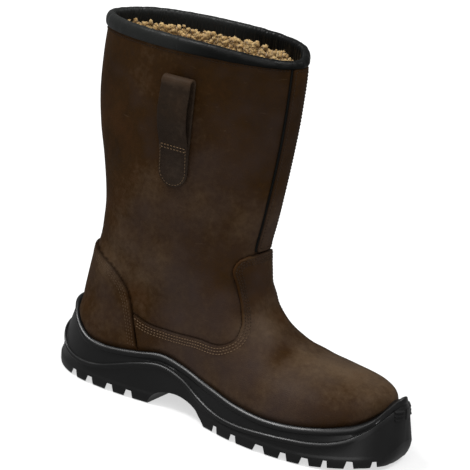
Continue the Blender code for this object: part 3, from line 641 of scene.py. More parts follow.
def normals(points, step=0.4):
    """Unit normals of the upper's function at points of its surface."""
    parts = []
    for axis in range(3):
        shift = np.zeros(3)
        shift[axis] = step
        ahead, behind = points + shift, points - shift
        parts.append(boot(*np.moveaxis(ahead, -1, 0)) - boot(*np.moveaxis(behind, -1, 0)))
    return unit(np.stack(parts, axis=-1))


def march(start, direction, height, reach):
    """Distance along each plan direction at which it leaves the upper."""
    near = np.zeros(direction.shape[:-1])
    far = np.full(direction.shape[:-1], reach)
    for _ in range(BISECTIONS):
        middle = (near + far) / 2
        plan = start + direction * middle[..., None]
        inside = boot(plan[..., 0], plan[..., 1], height(plan[..., 0])) < 0
        near = np.where(inside, middle, near)
        far = np.where(inside, far, middle)
    return near


def column_angles(count):
    even = np.arange(count) * 2 * math.pi / count
    return even + SIDE_SHIFT * np.sin(2 * even)


def collar_dip(columns):
    """How far the collar lies below its level at each column."""
    angles = (column_angles(columns) + math.pi) % (2 * math.pi) - math.pi
    return COLLAR_DIP * ease(*DIP_START, angles) * (1 - ease(*DIP_END, angles))


def collar_front(columns):
    """1 at the collar's front, 0 along its sides and back."""
    return ease(*BAND_RANGE, np.cos(column_angles(columns)))


def rings_on_upper(height, rows, columns):
    """Grid of points on the upper: rows of rings at height(x), each of shape (rows, columns)."""
    ends_way = np.broadcast_to(np.array([[1.0, 0.0], [-1.0, 0.0]]), (rows, 2, 2))
    ends = march(SEARCH_START, ends_way, height, SEARCH_REACH)
    centre = SEARCH_START + np.column_stack([(ends[:, 0] - ends[:, 1]) / 2, np.zeros(rows)])[:, None, :]
    half_length = (ends[:, 0] + ends[:, 1])[:, None] / 2
    angles = column_angles(columns)[None, :]
    direction = np.stack([half_length * np.cos(angles),
                          np.broadcast_to(UPPER_HALF_WIDTH * np.sin(angles), (rows, columns))], axis=-1)
    plan = centre + direction * march(centre, direction, height, WIDEST_SHARE)[..., None]
    return np.concatenate([plan, height(plan[..., 0])[..., None]], axis=-1)


def ring_at(height, columns, offset=0.0):
    """One ring on the upper at height(x), pushed out along the surface's normals."""
    points = rings_on_upper(height, 1, columns)[0]
    return points + normals(points) * offset


def skin_grid():
    """Fine grid over the whole upper, from the bed to the collar."""
    shaft = np.linspace(FOOT_RINGS[-1][1], COLLAR_HEIGHT, SHAFT_STEPS + 1)[1:]
    table = np.array(FOOT_RINGS + [(0.0, z, z) for z in shaft])
    at = np.linspace(0, len(table) - 1, (len(table) - 1) * RINGS_BETWEEN + 1)
    knots = np.arange(len(table), dtype=float)
    follow, back, front = (
        smooth(at, knots, column(table, RING_COLUMNS, name))[:, None] for name in RING_COLUMNS)
    bed_back, bed_front = sole_height("bed", 0.0), sole_height("bed", TOE_FRONT)

    def height(x):
        share = x / TOE_FRONT
        curve = sole_height("bed", x) - (bed_back + (bed_front - bed_back) * share)
        return back + (front - back) * share + np.clip(follow, 0, 1) * curve

    return rings_on_upper(height, len(at), SKIN_COLUMNS)


def on_leather(points, steps=8):
    """Points moved onto the upper's surface."""
    points = np.asarray(points, float)
    for _ in range(steps):
        points = points - normals(points) * boot(*points.T)[:, None]
    return points


def curve_through(points, count):
    """Evenly spaced points on a smooth curve through the given ones."""
    points = np.asarray(points, float)
    along = lengths_along(points)
    at = np.linspace(0, along[-1], count)
    return np.column_stack([smooth(at, along, points[:, k]) for k in range(points.shape[1])])


# Relief and tone of the leather


def creases(points):
    """Offset of the leather at its listed creases: soft troughs with a ridge on each side."""
    flat = points.reshape(-1, 3)
    total = np.zeros(len(flat))
    for path, depth, width in CREASES:
        line = on_leather(curve_through(path, CREASE_POINTS))
        gaps = np.linalg.norm(flat[:, None, :] - line[None, :, :], axis=2)
        nearest = gaps.argmin(axis=1)
        gap = gaps[np.arange(len(flat)), nearest]
        fade = np.sin(math.pi * (nearest + 0.5) / CREASE_POINTS) ** CREASE_FADE
        trough = -np.exp(-(gap / width) ** 2)
        ridge = RIDGE_SHARE * np.exp(-((gap - RIDGE_AWAY * width) / width) ** 2)
        total += depth * fade * (trough + ridge)
    return total.reshape(points.shape[:-1])


def waves(points):
    """Slow unevenness of the leather, fading out at the sole and the collar."""
    flat = points.reshape(-1, 3)
    wave = np.array([noise.noise(Vector(p * WAVE_SCALE)) for p in flat])
    fade = ease(*WAVE_ABOVE_RIM, above_rim(flat)) * ease(*WAVE_BELOW_COLLAR, COLLAR_HEIGHT - flat[:, 2])
    return (WAVE_DEPTH * wave * fade).reshape(points.shape[:-1])


def tone(points, relief):
    """Lightness and warmth of the leather: listed patches, lighter ridges, darker troughs."""
    # Painted shade and light: the relief darkens the troughs of creases and waves and lightens their
    # ridges, the ridges also standing for rubbed wear; many patches paint light and shade too
    light = RELIEF_LIGHT * relief
    warm = np.zeros(len(points))
    for place_at, reach, lightness, warmth in PATCHES:
        share = np.exp(-np.sum((points - np.array(place_at)) ** 2, axis=1) / reach ** 2)
        light += lightness * share
        warm += warmth * share
    return light, warm


# Meshes


def place(points):
    return (np.asarray(points) - ORIGIN) * MM


def new_mesh(name, points, faces, smooth_shading=True, sharp=SHARP):
    mesh = bpy.data.meshes.new(name)
    mesh.from_pydata(place(points).tolist(), [], faces)
    if smooth_shading:
        mesh.shade_smooth()
        mesh.set_sharp_from_angle(angle=math.radians(sharp))
    mesh.validate()
    return mesh


def add_object(name, data):
    made = bpy.data.objects.new(name, data)
    bpy.context.scene.collection.objects.link(made)
    return made


def piece(name, mesh, finish, nodes=()):
    """Adds a piece of the boot, riding on its only body."""
    made = add_object(name, mesh)
    mesh.materials.append(finish)
    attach(made, "root")
    if nodes:
        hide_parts(*nodes)
    return made


def paint(mesh, light, warm, dark):
    """Stores the leather's tone on the mesh: lightness, warmth and painted shade as red, green and blue."""
    layer = mesh.attributes.new("tone", "FLOAT_COLOR", "POINT")
    colours = np.column_stack([light + 0.5, warm + 0.5, dark, np.ones(len(light))]).astype(np.float32)
    layer.data.foreach_set("color", colours.ravel())


def paint_sheets(mesh, used, light, warm, dark):
    """Paints both sheets of a shell alike."""
    paint(mesh, *(np.tile(values[used], 2) for values in (light, warm, dark)))


def paint_light(mesh, light):
    paint(mesh, light, np.zeros(len(light)), np.zeros(len(light)))


def fix_normals(mesh):
    work = bmesh.new()
    work.from_mesh(mesh)
    bmesh.ops.recalc_face_normals(work, faces=work.faces)
    work.to_mesh(mesh)
    work.free()


def grid_faces(rows, columns):
    """Quads of a grid that closes round its columns."""
    r, c = np.meshgrid(np.arange(rows - 1), np.arange(columns), indexing="ij")
    right = (c + 1) % columns
    low, high = r * columns, (r + 1) * columns
    return np.stack([low + c, low + right, high + right, high + c], axis=-1).reshape(-1, 4).tolist()


def tube_faces(rows, columns):
    """Quads of a grid that closes round its columns, with a lid at each end."""
    last = (rows - 1) * columns
    return grid_faces(rows, columns) + [list(range(columns))[::-1], [last + k for k in range(columns)]]


def repeat_faces(faces, step, count):
    """The same faces for each of several parts that hold a step of points each."""
    return [[number * step + k for k in face] for number in range(count) for face in faces]


def lid_faces(count, first):
    """Strips across a ring of points, from side to side."""
    strips = []
    for i in range(count // 2):
        strip = [i, i + 1, (count - i - 1) % count, (count - i) % count]
        strips.append([first + k for k in dict.fromkeys(strip)])
    return strips


def split(data, faces, level):
    """Cuts faces where the last column of data passes a level; returns data, faces below and above it."""
    values = (data[:, -1] - level).tolist()
    rows = list(data)
    made = {}
    below, above = [], []

    def crossing(a, b):
        key = (min(a, b), max(a, b))
        if key not in made:
            share = values[a] / (values[a] - values[b])
            rows.append(data[a] + (data[b] - data[a]) * share)
            made[key] = len(rows) - 1
        return made[key]

    for face in faces:
        signs = [values[k] <= 0 for k in face]
        if all(signs) or not any(signs):
            (below if signs[0] else above).append(face)
            continue
        low, high = [], []
        for k, a in enumerate(face):
            b = face[(k + 1) % len(face)]
            (low if values[a] <= 0 else high).append(a)
            if (values[a] <= 0) != (values[b] <= 0):
                cut = crossing(a, b)
                low.append(cut)
                high.append(cut)
        below.append(low)
        above.append(high)
    return np.array(rows), below, above


def shell(name, outer, inner, faces):
    """Closed wall between two sheets with the same faces."""
    used = sorted({k for face in faces for k in face})
    index = {k: i for i, k in enumerate(used)}
    faces = [[index[k] for k in face] for face in faces]
    count = len(used)
    edges = {}
    for face in faces:
        for a, b in zip(face, face[1:] + face[:1]):
            edges[(a, b)] = True
    walls = [[b, a, a + count, b + count] for a, b in edges if (b, a) not in edges]
    backs = [[k + count for k in face[::-1]] for face in faces]
    mesh = new_mesh(name, np.vstack([outer[used], inner[used]]), faces + backs + walls, sharp=WALL_SHARP)
    return mesh, used


def tube(path, ups, radius, flat=1.0, sides=10):
    """Points and faces of a closed cord along a path; flat squeezes it along the up vectors."""
    path, ups = np.asarray(path, float), np.asarray(ups, float)
    tangent = unit(np.gradient(path, axis=0))
    across = unit(np.cross(tangent, ups))
    ups = np.cross(across, tangent)
    turn = (np.arange(sides) * 2 * math.pi / sides)[None, :, None]
    ring = across[:, None, :] * np.cos(turn) + ups[:, None, :] * flat * np.sin(turn)
    points = (path[:, None, :] + ring * radius).reshape(-1, 3)
    return points, tube_faces(len(path), sides)


# Materials


class Paint:
    """A procedural material under construction."""

    def __init__(self, name):
        self.made = bpy.data.materials.new(name)
        self.made.use_nodes = True
        self.tree = self.made.node_tree
        self.shader = self.tree.nodes["Principled BSDF"]
        self.where = self.node("ShaderNodeTexCoord").outputs["Object"]

    def node(self, kind, **settings):
        made = self.tree.nodes.new(kind)
        for name, value in settings.items():
            setattr(made, name, value)
        return made

    def link(self, source, target):
        if isinstance(source, (int, float, tuple)):
            target.default_value = source
        else:
            self.tree.links.new(source, target)

    def stretched(self, scale):
        mapping = self.node("ShaderNodeMapping")
        self.link(self.where, mapping.inputs["Vector"])
        mapping.inputs["Scale"].default_value = scale
        return mapping.outputs["Vector"]

    def noise(self, scale, detail=3.0, rough=0.55, where=None, distortion=0.0):
        made = self.node("ShaderNodeTexNoise")
        self.link(where or self.where, made.inputs["Vector"])
        made.inputs["Scale"].default_value = scale
        made.inputs["Detail"].default_value = detail
        made.inputs["Roughness"].default_value = rough
        made.inputs["Distortion"].default_value = distortion
        return made.outputs["Fac"]

    def cells(self, scale, feature="F1"):
        made = self.node("ShaderNodeTexVoronoi", feature=feature)
        self.link(self.where, made.inputs["Vector"])
        made.inputs["Scale"].default_value = scale
        return made.outputs["Distance"]

    def span(self, value, low, high, to_low=0.0, to_high=1.0):
        made = self.node("ShaderNodeMapRange")
        self.link(value, made.inputs["Value"])
        limits = {"From Min": low, "From Max": high, "To Min": to_low, "To Max": to_high}
        for name, number in limits.items():
            made.inputs[name].default_value = number
        return made.outputs["Result"]

    def sum(self, a, b, operation="ADD"):
        made = self.node("ShaderNodeMath", operation=operation)
        self.link(a, made.inputs[0])
        self.link(b, made.inputs[1])
        return made.outputs["Value"]

    def mix(self, share, a, b, blend="MIX"):
        made = self.node("ShaderNodeMix", data_type="RGBA", blend_type=blend)
        self.link(share, made.inputs[0])
        self.link(a, made.inputs[6])
        self.link(b, made.inputs[7])
        return made.outputs[2]

    def tone(self):
        made = self.node("ShaderNodeAttribute", attribute_name="tone")
        split_up = self.node("ShaderNodeSeparateColor")
        self.link(made.outputs["Color"], split_up.inputs["Color"])
        return (split_up.outputs[name] for name in ("Red", "Green", "Blue"))

    def bump(self, height, distance, strength, below=None):
        made = self.node("ShaderNodeBump")
        self.link(height, made.inputs["Height"])
        made.inputs["Distance"].default_value = distance
        made.inputs["Strength"].default_value = strength
        if below is not None:
            self.link(below, made.inputs["Normal"])
        return made.outputs["Normal"]

    def finish(self, colour, roughness, normal, **constants):
        self.link(colour, self.shader.inputs["Base Color"])
        self.link(roughness, self.shader.inputs["Roughness"])
        self.link(normal, self.shader.inputs["Normal"])
        for name, value in constants.items():
            self.shader.inputs[name.replace("_", " ")].default_value = value
        return self.made


def leather_finish(name, dark, middle, light, warm, cool):
    """Oiled leather: soft mottling, rubbed patches and painted light and shade from the tone attribute,
    fine scratches, grain and pores.
    """
    coat = Paint(name)
    lightness, warmth, painted_shade = coat.tone()
    mottle = coat.span(coat.noise(22.0, 5.0, 0.6), 0.3, 0.7, -0.16, 0.16)
    speckle = coat.span(coat.noise(240.0, 4.0, 0.65), 0.3, 0.7, -0.09, 0.09)
    level = coat.sum(lightness, coat.sum(mottle, speckle))
    colour = coat.mix(coat.span(level, 0.0, 0.5), (*dark, 1.0), (*middle, 1.0))
    colour = coat.mix(coat.span(level, 0.5, 1.0), colour, (*light, 1.0))
    tint = coat.sum(warmth, coat.span(coat.noise(30.0, 4.0, 0.6), 0.3, 0.7, -0.22, 0.22))
    colour = coat.mix(coat.span(tint, 0.5, 1.0, 0.0, 0.85), colour, (*warm, 1.0))
    colour = coat.mix(coat.span(tint, 0.5, 0.0, 0.0, 0.85), colour, (*cool, 1.0))
    scratch = coat.noise(70.0, 3.0, 0.7, coat.stretched((1.0, 1.0, 8.0)), 0.8)
    colour = coat.mix(coat.span(scratch, 0.66, 0.76, 0.0, 0.35), colour, (*light, 1.0))
    # Painted shade: the tone's blue channel darkens the leather to near black at overlay seams, cut edges
    # and near the sole's rim
    colour = coat.mix(painted_shade, colour, (0.004, 0.002, 0.001, 1.0))
    grain = coat.sum(coat.cells(900.0), coat.noise(420.0, 4.0, 0.7))
    normal = coat.bump(grain, 0.00025, 0.35)
    normal = coat.bump(coat.noise(110.0, 4.0, 0.6), 0.0007, 0.30, normal)
    roughness = coat.span(coat.noise(38.0, 5.0, 0.65), 0.3, 0.75, 0.42, 0.60)
    return coat.finish(colour, roughness, normal, Specular_IOR_Level=0.03)


def edging_finish():
    """Black edging: fine grain, lighter towards the heel where the mesh says so, as dust and painted sheen.
    """
    coat = Paint("black_edging_grain")
    dust_and_sheen, _, _ = coat.tone()
    colour = coat.mix(coat.noise(80.0, 4.0), (0.001, 0.0011, 0.001, 1.0), (0.004, 0.0043, 0.004, 1.0))
    colour = coat.mix(coat.span(dust_and_sheen, 0.5, 1.0), colour, (0.016, 0.0168, 0.016, 1.0))
    normal = coat.bump(coat.cells(1100.0), 0.0002, 0.35)
    normal = coat.bump(coat.noise(160.0, 3.0), 0.0006, 0.35, normal)
    roughness = coat.span(coat.noise(60.0, 3.0), 0.3, 0.7, 0.34, 0.50)
    return coat.finish(colour, roughness, normal, Specular_IOR_Level=0.12)


def sole_finish():
    """Moulded black sole: satin, slightly dusty in broad patches."""
    coat = Paint("black_sole_moulded")
    colour = coat.mix(coat.noise(30.0, 5.0, 0.6), (0.003, 0.003, 0.003, 1.0), (0.0056, 0.0056, 0.0057, 1.0))
    normal = coat.bump(coat.noise(1300.0, 3.0), 0.00015, 0.08)
    normal = coat.bump(coat.noise(90.0, 4.0), 0.0004, 0.12, normal)
    roughness = coat.span(coat.noise(45.0, 4.0), 0.3, 0.7, 0.30, 0.42)
    return coat.finish(colour, roughness, normal, Specular_IOR_Level=0.34)


def fleece_finish():
    """Tan fleece: mottled, rough, with a soft sheen."""
    coat = Paint("tan_fleece")
    curls = coat.span(coat.noise(190.0, 4.0, 0.7), 0.35, 0.65)
    colour = coat.mix(curls, (0.33, 0.195, 0.068, 1.0), (0.55, 0.385, 0.170, 1.0))
    normal = coat.bump(coat.noise(700.0, 4.0, 0.7), 0.0010, 0.7)
    return coat.finish(colour, 0.95, normal, Specular_IOR_Level=0.15, Sheen_Weight=0.35,
                       Sheen_Roughness=0.5)


def thread_finish(name, dark, light):
    """Thread whose lightness is stored on the mesh."""
    coat = Paint(name)
    lightness, _, _ = coat.tone()
    colour = coat.mix(lightness, (*dark, 1.0), (*light, 1.0))
    normal = coat.bump(coat.noise(2600.0, 2.0, 0.5, coat.stretched((1.0, 1.0, 3.0))), 0.0002, 0.5)
    return coat.finish(colour, 0.75, normal, Specular_IOR_Level=0.15)


# Upper and overlays


def edge_field(points, surface_normals, edge, tail, closing):
    """Signed distance over the leather to an edge drawn from the side, negative inside the panel."""
    flat = points.reshape(-1, 3)[:, (0, 2)]
    tilt = surface_normals.reshape(-1, 3)[:, (0, 2)]
    line = np.vstack([curve_through(edge, CURVE_POINTS)] + tail)
    best = np.full(len(flat), np.inf)
    toward = np.zeros((len(flat), 2))
    for a, b in zip(line[:-1], line[1:]):
        way = b - a
        share = np.clip((flat - a) @ way / (way @ way), 0, 1)
        gap = flat - (a + share[:, None] * way)
        size = np.linalg.norm(gap, axis=1)
        closer = size < best
        best = np.where(closer, size, best)
        toward[closer] = gap[closer]
    polygon = np.vstack([line, closing])
    inside = np.zeros(len(flat), bool)
    for a, b in zip(polygon, np.roll(polygon, -1, axis=0)):
        spans = (a[1] > flat[:, 1]) != (b[1] > flat[:, 1])
        rise = b[1] - a[1] if b[1] != a[1] else 1.0
        inside ^= spans & (flat[:, 0] < a[0] + (flat[:, 1] - a[1]) / rise * (b[0] - a[0]))
    slope = np.sum(toward * tilt, axis=1) / np.maximum(best, 1e-6)
    best = best / np.sqrt(np.maximum(1 - slope ** 2, 0.2))
    return np.where(inside, -best, best).reshape(points.shape[:-1])


def strip_field(points):
    """Signed distance to the strip down the front of the shaft, negative inside."""
    x, y, z = np.moveaxis(points, -1, 0)
    field = np.maximum(np.abs(y) - STRIP_HALF_WIDTH, np.maximum(STRIP_LOW - z, z - STRIP_HIGH))
    return np.where(x > LOOP_CENTRE, field, SEARCH_REACH)


def above_rim(points):
    return points[..., 2] - sole_height("rim", points[..., 0])


class Skin:
    """The upper's fine grid with its normals, relief and the fields of its overlays."""

    def __init__(self):
        self.points = skin_grid()
        self.normals = normals(self.points)
        self.level = self.points[..., 2].copy()
        self.fleece_level = self.level + BAND_FRONT * collar_front(SKIN_COLUMNS)
        self.points[..., 2] -= collar_dip(SKIN_COLUMNS) * ease(DIP_FROM, COLLAR_HEIGHT, self.level)
        self.relief = creases(self.points) + waves(self.points)
        ends = [(PAST_TOE, 0.0), (PAST_TOE, VAMP_EDGE[0][1])]
        self.vamp = edge_field(self.points, self.normals, VAMP_EDGE, [VAMP_BACK], ends)
        self.vamp_seam = edge_field(self.points, self.normals, VAMP_EDGE, [], VAMP_BACK + ends)
        self.counter = edge_field(self.points, self.normals, COUNTER_EDGE, [], [(PAST_HEEL, 0.0)])
        self.strip = strip_field(self.points)
        self.faces = grid_faces(*self.vamp.shape)

    def sheet(self, offset):
        return self.points + self.normals * (self.relief + offset)[..., None]


def make_upper(skin, finish):
    # Painted shade: a dark line on the upper along the edges of vamp, counter and strip, where the
    # overlays' steps shade it
    painted_shade = np.zeros(skin.vamp.shape)
    for field in (skin.vamp, skin.counter, skin.strip):
        painted_shade = np.maximum(painted_shade, SEAM_SHADE * (1 - ease(0.0, SEAM_SHADE_REACH, np.abs(field))))
    outer, inner = (skin.sheet(offset).reshape(-1, 3) for offset in (0.0, -LEATHER))
    mesh, used = shell("upper_leather", outer, inner, skin.faces)
    light, warm = tone(skin.points.reshape(-1, 3), skin.relief.ravel())
    paint_sheets(mesh, used, light, warm, painted_shade.ravel())
    piece("upper_leather", mesh, finish, ["upper"])


def make_panel(name, skin, field, top, finish, nodes):
    """Overlay cut from the skin where its field is negative, tucked in behind the sole's rim."""
    limit = np.maximum(field, -BELOW_RIM - above_rim(skin.points))
    parts = [skin.points, skin.normals, skin.relief[..., None], limit[..., None]]
    data = np.concatenate([part.reshape(limit.size, -1) for part in parts], axis=1)
    data, kept, _ = split(data, skin.faces, 0.0)
    data, core, border = split(data, kept, -EDGE_ROUND)
    points, ways, relief, limit = data[:, :3], data[:, 3:6], data[:, 6], data[:, 7]
    ways = unit(ways)
    tuck = TUCKED + (1 - TUCKED) * ease(0.0, TUCK, above_rim(points))
    rounded = EDGE_SHARE + (1 - EDGE_SHARE) * np.clip(-limit / EDGE_ROUND, 0, 1)
    outer = points + ways * (relief + OVERLAY_ROOT + (top - OVERLAY_ROOT) * tuck * rounded)[:, None]
    inner = points + ways * (relief - OVERLAY_ROOT)[:, None]
    mesh, used = shell(name, outer, inner, core + border)
    light, warm = tone(points, relief)
    # Painted shade: each overlay darker along its cut edge, away from the throat, and near the sole's rim;
    # the throat's raw edge gets its own lighter, warmer colour
    cut_edge = 1 - ease(0.0, CUT_EDGE, -limit)
    throat = ease(*THROAT_X, points[:, 0]) * ease(*THROAT_Z, points[:, 2]) * (points[:, 2] < THROAT_TOP)
    raw = cut_edge * throat
    near_rim = RIM_SHADE * (1 - ease(0.0, TUCK, above_rim(points)))
    shade = np.maximum(near_rim, EDGE_SHADE * cut_edge * (1 - throat))
    paint_sheets(mesh, used, light + RAW_LIGHT * raw, warm + RAW_WARM * raw, shade)
    piece(name, mesh, finish, nodes)


def iso_lines(field, level, sheet):
    """Lines on a sheet where a field over its grid has the given level."""
    columns = field.shape[1]
    values = field - level
    links = {}
    spots = {}

    def spot(a, b):
        key = (min(a, b), max(a, b))
        if key not in spots:
            va, vb = values[a], values[b]
            spots[key] = sheet[a] + (sheet[b] - sheet[a]) * va / (va - vb)
        return key

    below = values < 0
    near, far = below[:-1], below[1:]
    count = near.astype(int) + np.roll(near, -1, axis=1) + far + np.roll(far, -1, axis=1)
    for r, c in np.argwhere((count > 0) & (count < 4)):
        right = (c + 1) % columns
        corners = [(r, c), (r, right), (r + 1, right), (r + 1, c)]
        cuts = [spot(a, b) for a, b in zip(corners, corners[1:] + corners[:1]) if below[a] != below[b]]
        if len(cuts) == 2:
            links.setdefault(cuts[0], []).append(cuts[1])
            links.setdefault(cuts[1], []).append(cuts[0])
    lines = []
    left = set(links)
    while left:
        ends = [key for key in left if len([k for k in links[key] if k in left]) <= 1]
        at = min(ends) if ends else min(left)
        line = []
        while at is not None:
            left.discard(at)
            line.append(spots[at])
            at = next((k for k in links[at] if k in left), None)
        if len(line) > 3:
            lines.append(np.array(line))
    return lines


def stitches(paths, ups, radius):
    """Points and faces of sewn stitches: each path is one stitch's two ends, with its up vector."""
    paths, ups = np.asarray(paths), np.asarray(ups)
    middle = paths.mean(axis=1)
    along = unit(paths[:, 1] - paths[:, 0])
    across = unit(np.cross(along, ups))
    ups = np.cross(across, along)
    turn = np.arange(STITCH_SIDES) * 2 * math.pi / STITCH_SIDES
    local = []
    for reach, lift, size in STITCH_SECTIONS:
        for a in turn:
            local.append((reach * STITCH_LENGTH / 2, math.cos(a) * size * radius,
                          lift * radius + math.sin(a) * size * radius))
    local = np.array(local)
    points = middle[:, None, :] + local @ np.stack([along, across, ups], axis=1)
    faces = tube_faces(len(STITCH_SECTIONS), STITCH_SIDES)
    return points.reshape(-1, 3), repeat_faces(faces, len(local), len(middle))


def stitch_ends(line, pitch=STITCH_PITCH):
    """Ends of evenly spaced stitches along a line of points."""
    along = lengths_along(line)
    count = int(along[-1] // pitch)
    centres = (np.arange(count) + 0.5) * along[-1] / max(count, 1)
    ends = []
    for shift in (-STITCH_LENGTH / 2, STITCH_LENGTH / 2):
        ends.append(np.column_stack([np.interp(centres + shift, along, line[:, k]) for k in range(3)]))
    return np.stack(ends, axis=1)


def add_stitches(name, ends, ups, lightness, finish, radius=STITCH_RADIUS):
    points, faces = stitches(ends, ups, radius)
    mesh = new_mesh(name, points, faces)
    paint_light(mesh, np.repeat(lightness, len(points) // len(ends)) - 0.5)
    piece(name, mesh, finish)


def seam_stitches(skin, finish):
    """Three rows of stitches inside the edges of vamp and counter, one on the strip, one at the edging."""
    seams = []
    sheet = skin.sheet(OVERLAY_TOP)
    seam_end = np.array(VAMP_EDGE[-1])
    down = np.array(VAMP_BACK[0]) - seam_end
    forward = np.array([-down[1], down[0]]) / np.linalg.norm(down)
    for row in STITCH_ROWS:
        for line in iso_lines(skin.vamp_seam, -row, sheet):
            sewn = stitch_ends(line)
            middle = sewn.mean(axis=1)
            sewn = sewn[(middle[:, (0, 2)] - seam_end) @ forward > SEAM_START]
            darker = ease(*THREAD_RANGE, sewn.mean(axis=1)[:, 2])
            seams.append((sewn, VAMP_THREAD - (VAMP_THREAD - DARK_THREAD) * darker))
        for line in iso_lines(skin.counter, -row, sheet):
            sewn = stitch_ends(line)
            seams.append((sewn, np.full(len(sewn), COUNTER_THREAD)))
    edging_low = COLLAR_HEIGHT - BINDING_HEIGHT
    on_strip = np.where(skin.points[..., 2] > STRIP_LOW + STRIP_SEAM_START, skin.strip, SEARCH_REACH)
    lines = iso_lines(on_strip, -STRIP_SEAM, sheet)
    for line in iso_lines(skin.points[..., 2], edging_low - EDGING_SEAM, skin.sheet(0.0)):
        lines.append(np.vstack([line, line[:1]]))
    seams += [(sewn, np.full(len(sewn), DARK_THREAD)) for sewn in map(stitch_ends, lines)]
    ends = np.concatenate([sewn for sewn, _ in seams])
    lightness = np.concatenate([light for _, light in seams])
    middle = ends.mean(axis=1)
    keep = (above_rim(middle) > SEAM_ABOVE_RIM) & (middle[:, 2] < edging_low - SEAM_BELOW_EDGING)
    add_stitches("stitches_brown", ends[keep], normals(middle[keep]), lightness[keep], finish)


# Trim


def shaft_line(y, way, low, offset):
    """Points down the shaft's front (way 1) or back (way -1) at a place across, with their normals."""
    z = np.linspace(low, STRIP_HIGH, PIPING_POINTS)
    direction = np.tile([float(way), 0.0], (PIPING_POINTS, 1))
    start = np.tile([SHAFT_MIDDLE, y], (PIPING_POINTS, 1))
    x = start[:, 0] + way * march(start, direction, lambda _: z, SEARCH_REACH)
    points = np.column_stack([x, np.full(PIPING_POINTS, y), z])
    ways = normals(points)
    return points + ways * offset, ways


def make_pipings(finish):
    """Black cord down the back seam, and finer ones along both edges of the front strip."""
    points, faces = tube(*shaft_line(0.0, -1, BACK_PIPING_LOW, BACK_CORD_OUT), BACK_CORD, BACK_CORD_FLAT)
    mesh = new_mesh("back_piping_cord", points, faces)
    piece("back_piping_cord", mesh, finish, ["back_piping"])
    cords = []
    for side in (-1, 1):
        across = side * (STRIP_HALF_WIDTH + STRIP_CORD_GAP)
        path, ups = shaft_line(across, 1, STRIP_LOW + 1.0, STRIP_CORD_OUT)
        points, faces = tube(path, ups, STRIP_CORD, sides=STRIP_CORD_SIDES)
        cords.append(points)
    mesh = new_mesh("strip_piping", np.vstack(cords), repeat_faces(faces, len(points), len(cords)))
    piece("strip_piping", mesh, finish)


def make_edging(finish):
    """Folded black edging round the collar: gathered inside, wavy outside, with a lapped joint."""
    angles = column_angles(EDGING_COLUMNS)
    round_way = [Vector((math.cos(a), math.sin(a), 0.0)) for a in angles]
    wave = np.array([noise.noise(way * WAVES_ROUND) for way in round_way])
    gather = np.array([1 - 2 * abs(noise.noise(way * GATHERS_ROUND)) for way in round_way])
    turn = ((angles - LAP_ANGLE + math.pi) % (2 * math.pi) - math.pi) / LAP_WIDTH
    lap = LAP_STEP * ease(*LAP_RISE, turn) * (1 - ease(*LAP_FALL, turn))
    medial = MEDIAL_LIFT * ease(*MEDIAL_RANGE, np.sin(angles))
    rings = []
    for drop, offset in BINDING_PROFILE:
        level = min(COLLAR_HEIGHT - drop, COLLAR_HEIGHT)
        ring = ring_at(lambda x: np.full_like(x, level), EDGING_COLUMNS)
        way = normals(ring)
        way[:, 2] = 0.0
        if offset > 0:
            ring = ring + way * (offset + min(offset / WAVE_FULL, 1.0) * (PUCKER * wave + lap))[:, None]
        else:
            ring = ring + way * (offset - GATHER * gather * float(ease(*GATHER_RANGE, -offset)))[:, None]
        crest = float(1 - ease(0.0, CREST_DROP, drop))
        ring[:, 2] = COLLAR_HEIGHT - drop + CREST_WAVE * PUCKER * wave
        ring[:, 2] += (medial + CREST_GATHER * GATHER * gather) * crest
        ring[:, 2] -= collar_dip(EDGING_COLUMNS) * float(1 - ease(0.0, DIP_FADE, drop))
        if offset < 0:
            ring[:, 2] -= BAND_FRONT * collar_front(EDGING_COLUMNS) * float(ease(*BAND_DROP, drop))
        rings.append(ring)
    points = np.vstack(rings)
    faces = np.array(grid_faces(len(rings) + 1, EDGING_COLUMNS)) % len(points)
    mesh = new_mesh("collar_edging", points, faces.tolist(), sharp=SEWN_SHARP)
    fix_normals(mesh)
    # Dust and painted sheen: the edging lighter towards the heel, where its sheen catches the light
    paint_light(mesh, EDGING_DUST_AND_SHEEN * (1 - ease(*DUST_AND_SHEEN_RANGE, points[:, 0])))
    piece("collar_edging", mesh, finish, ["collar_binding"])


def strap_mesh(name, path, outs, widths):
    """Strap of the given widths along a path; outs point away from its inner face."""
    half = STRAP / 2
    section = STRAP_HALF_SECTION + [(-u, -v) for u, v in STRAP_HALF_SECTION]
    across = np.array([1.0, 0.0, 0.0])
    rings = [p + np.array([across * w / 2 * u + o * half * v for u, v in section])
             for p, o, w in zip(path, outs, widths)]
    mesh = new_mesh(name, np.vstack(rings), tube_faces(len(rings), len(section)), sharp=SEWN_SHARP)
    fix_normals(mesh)
    return mesh


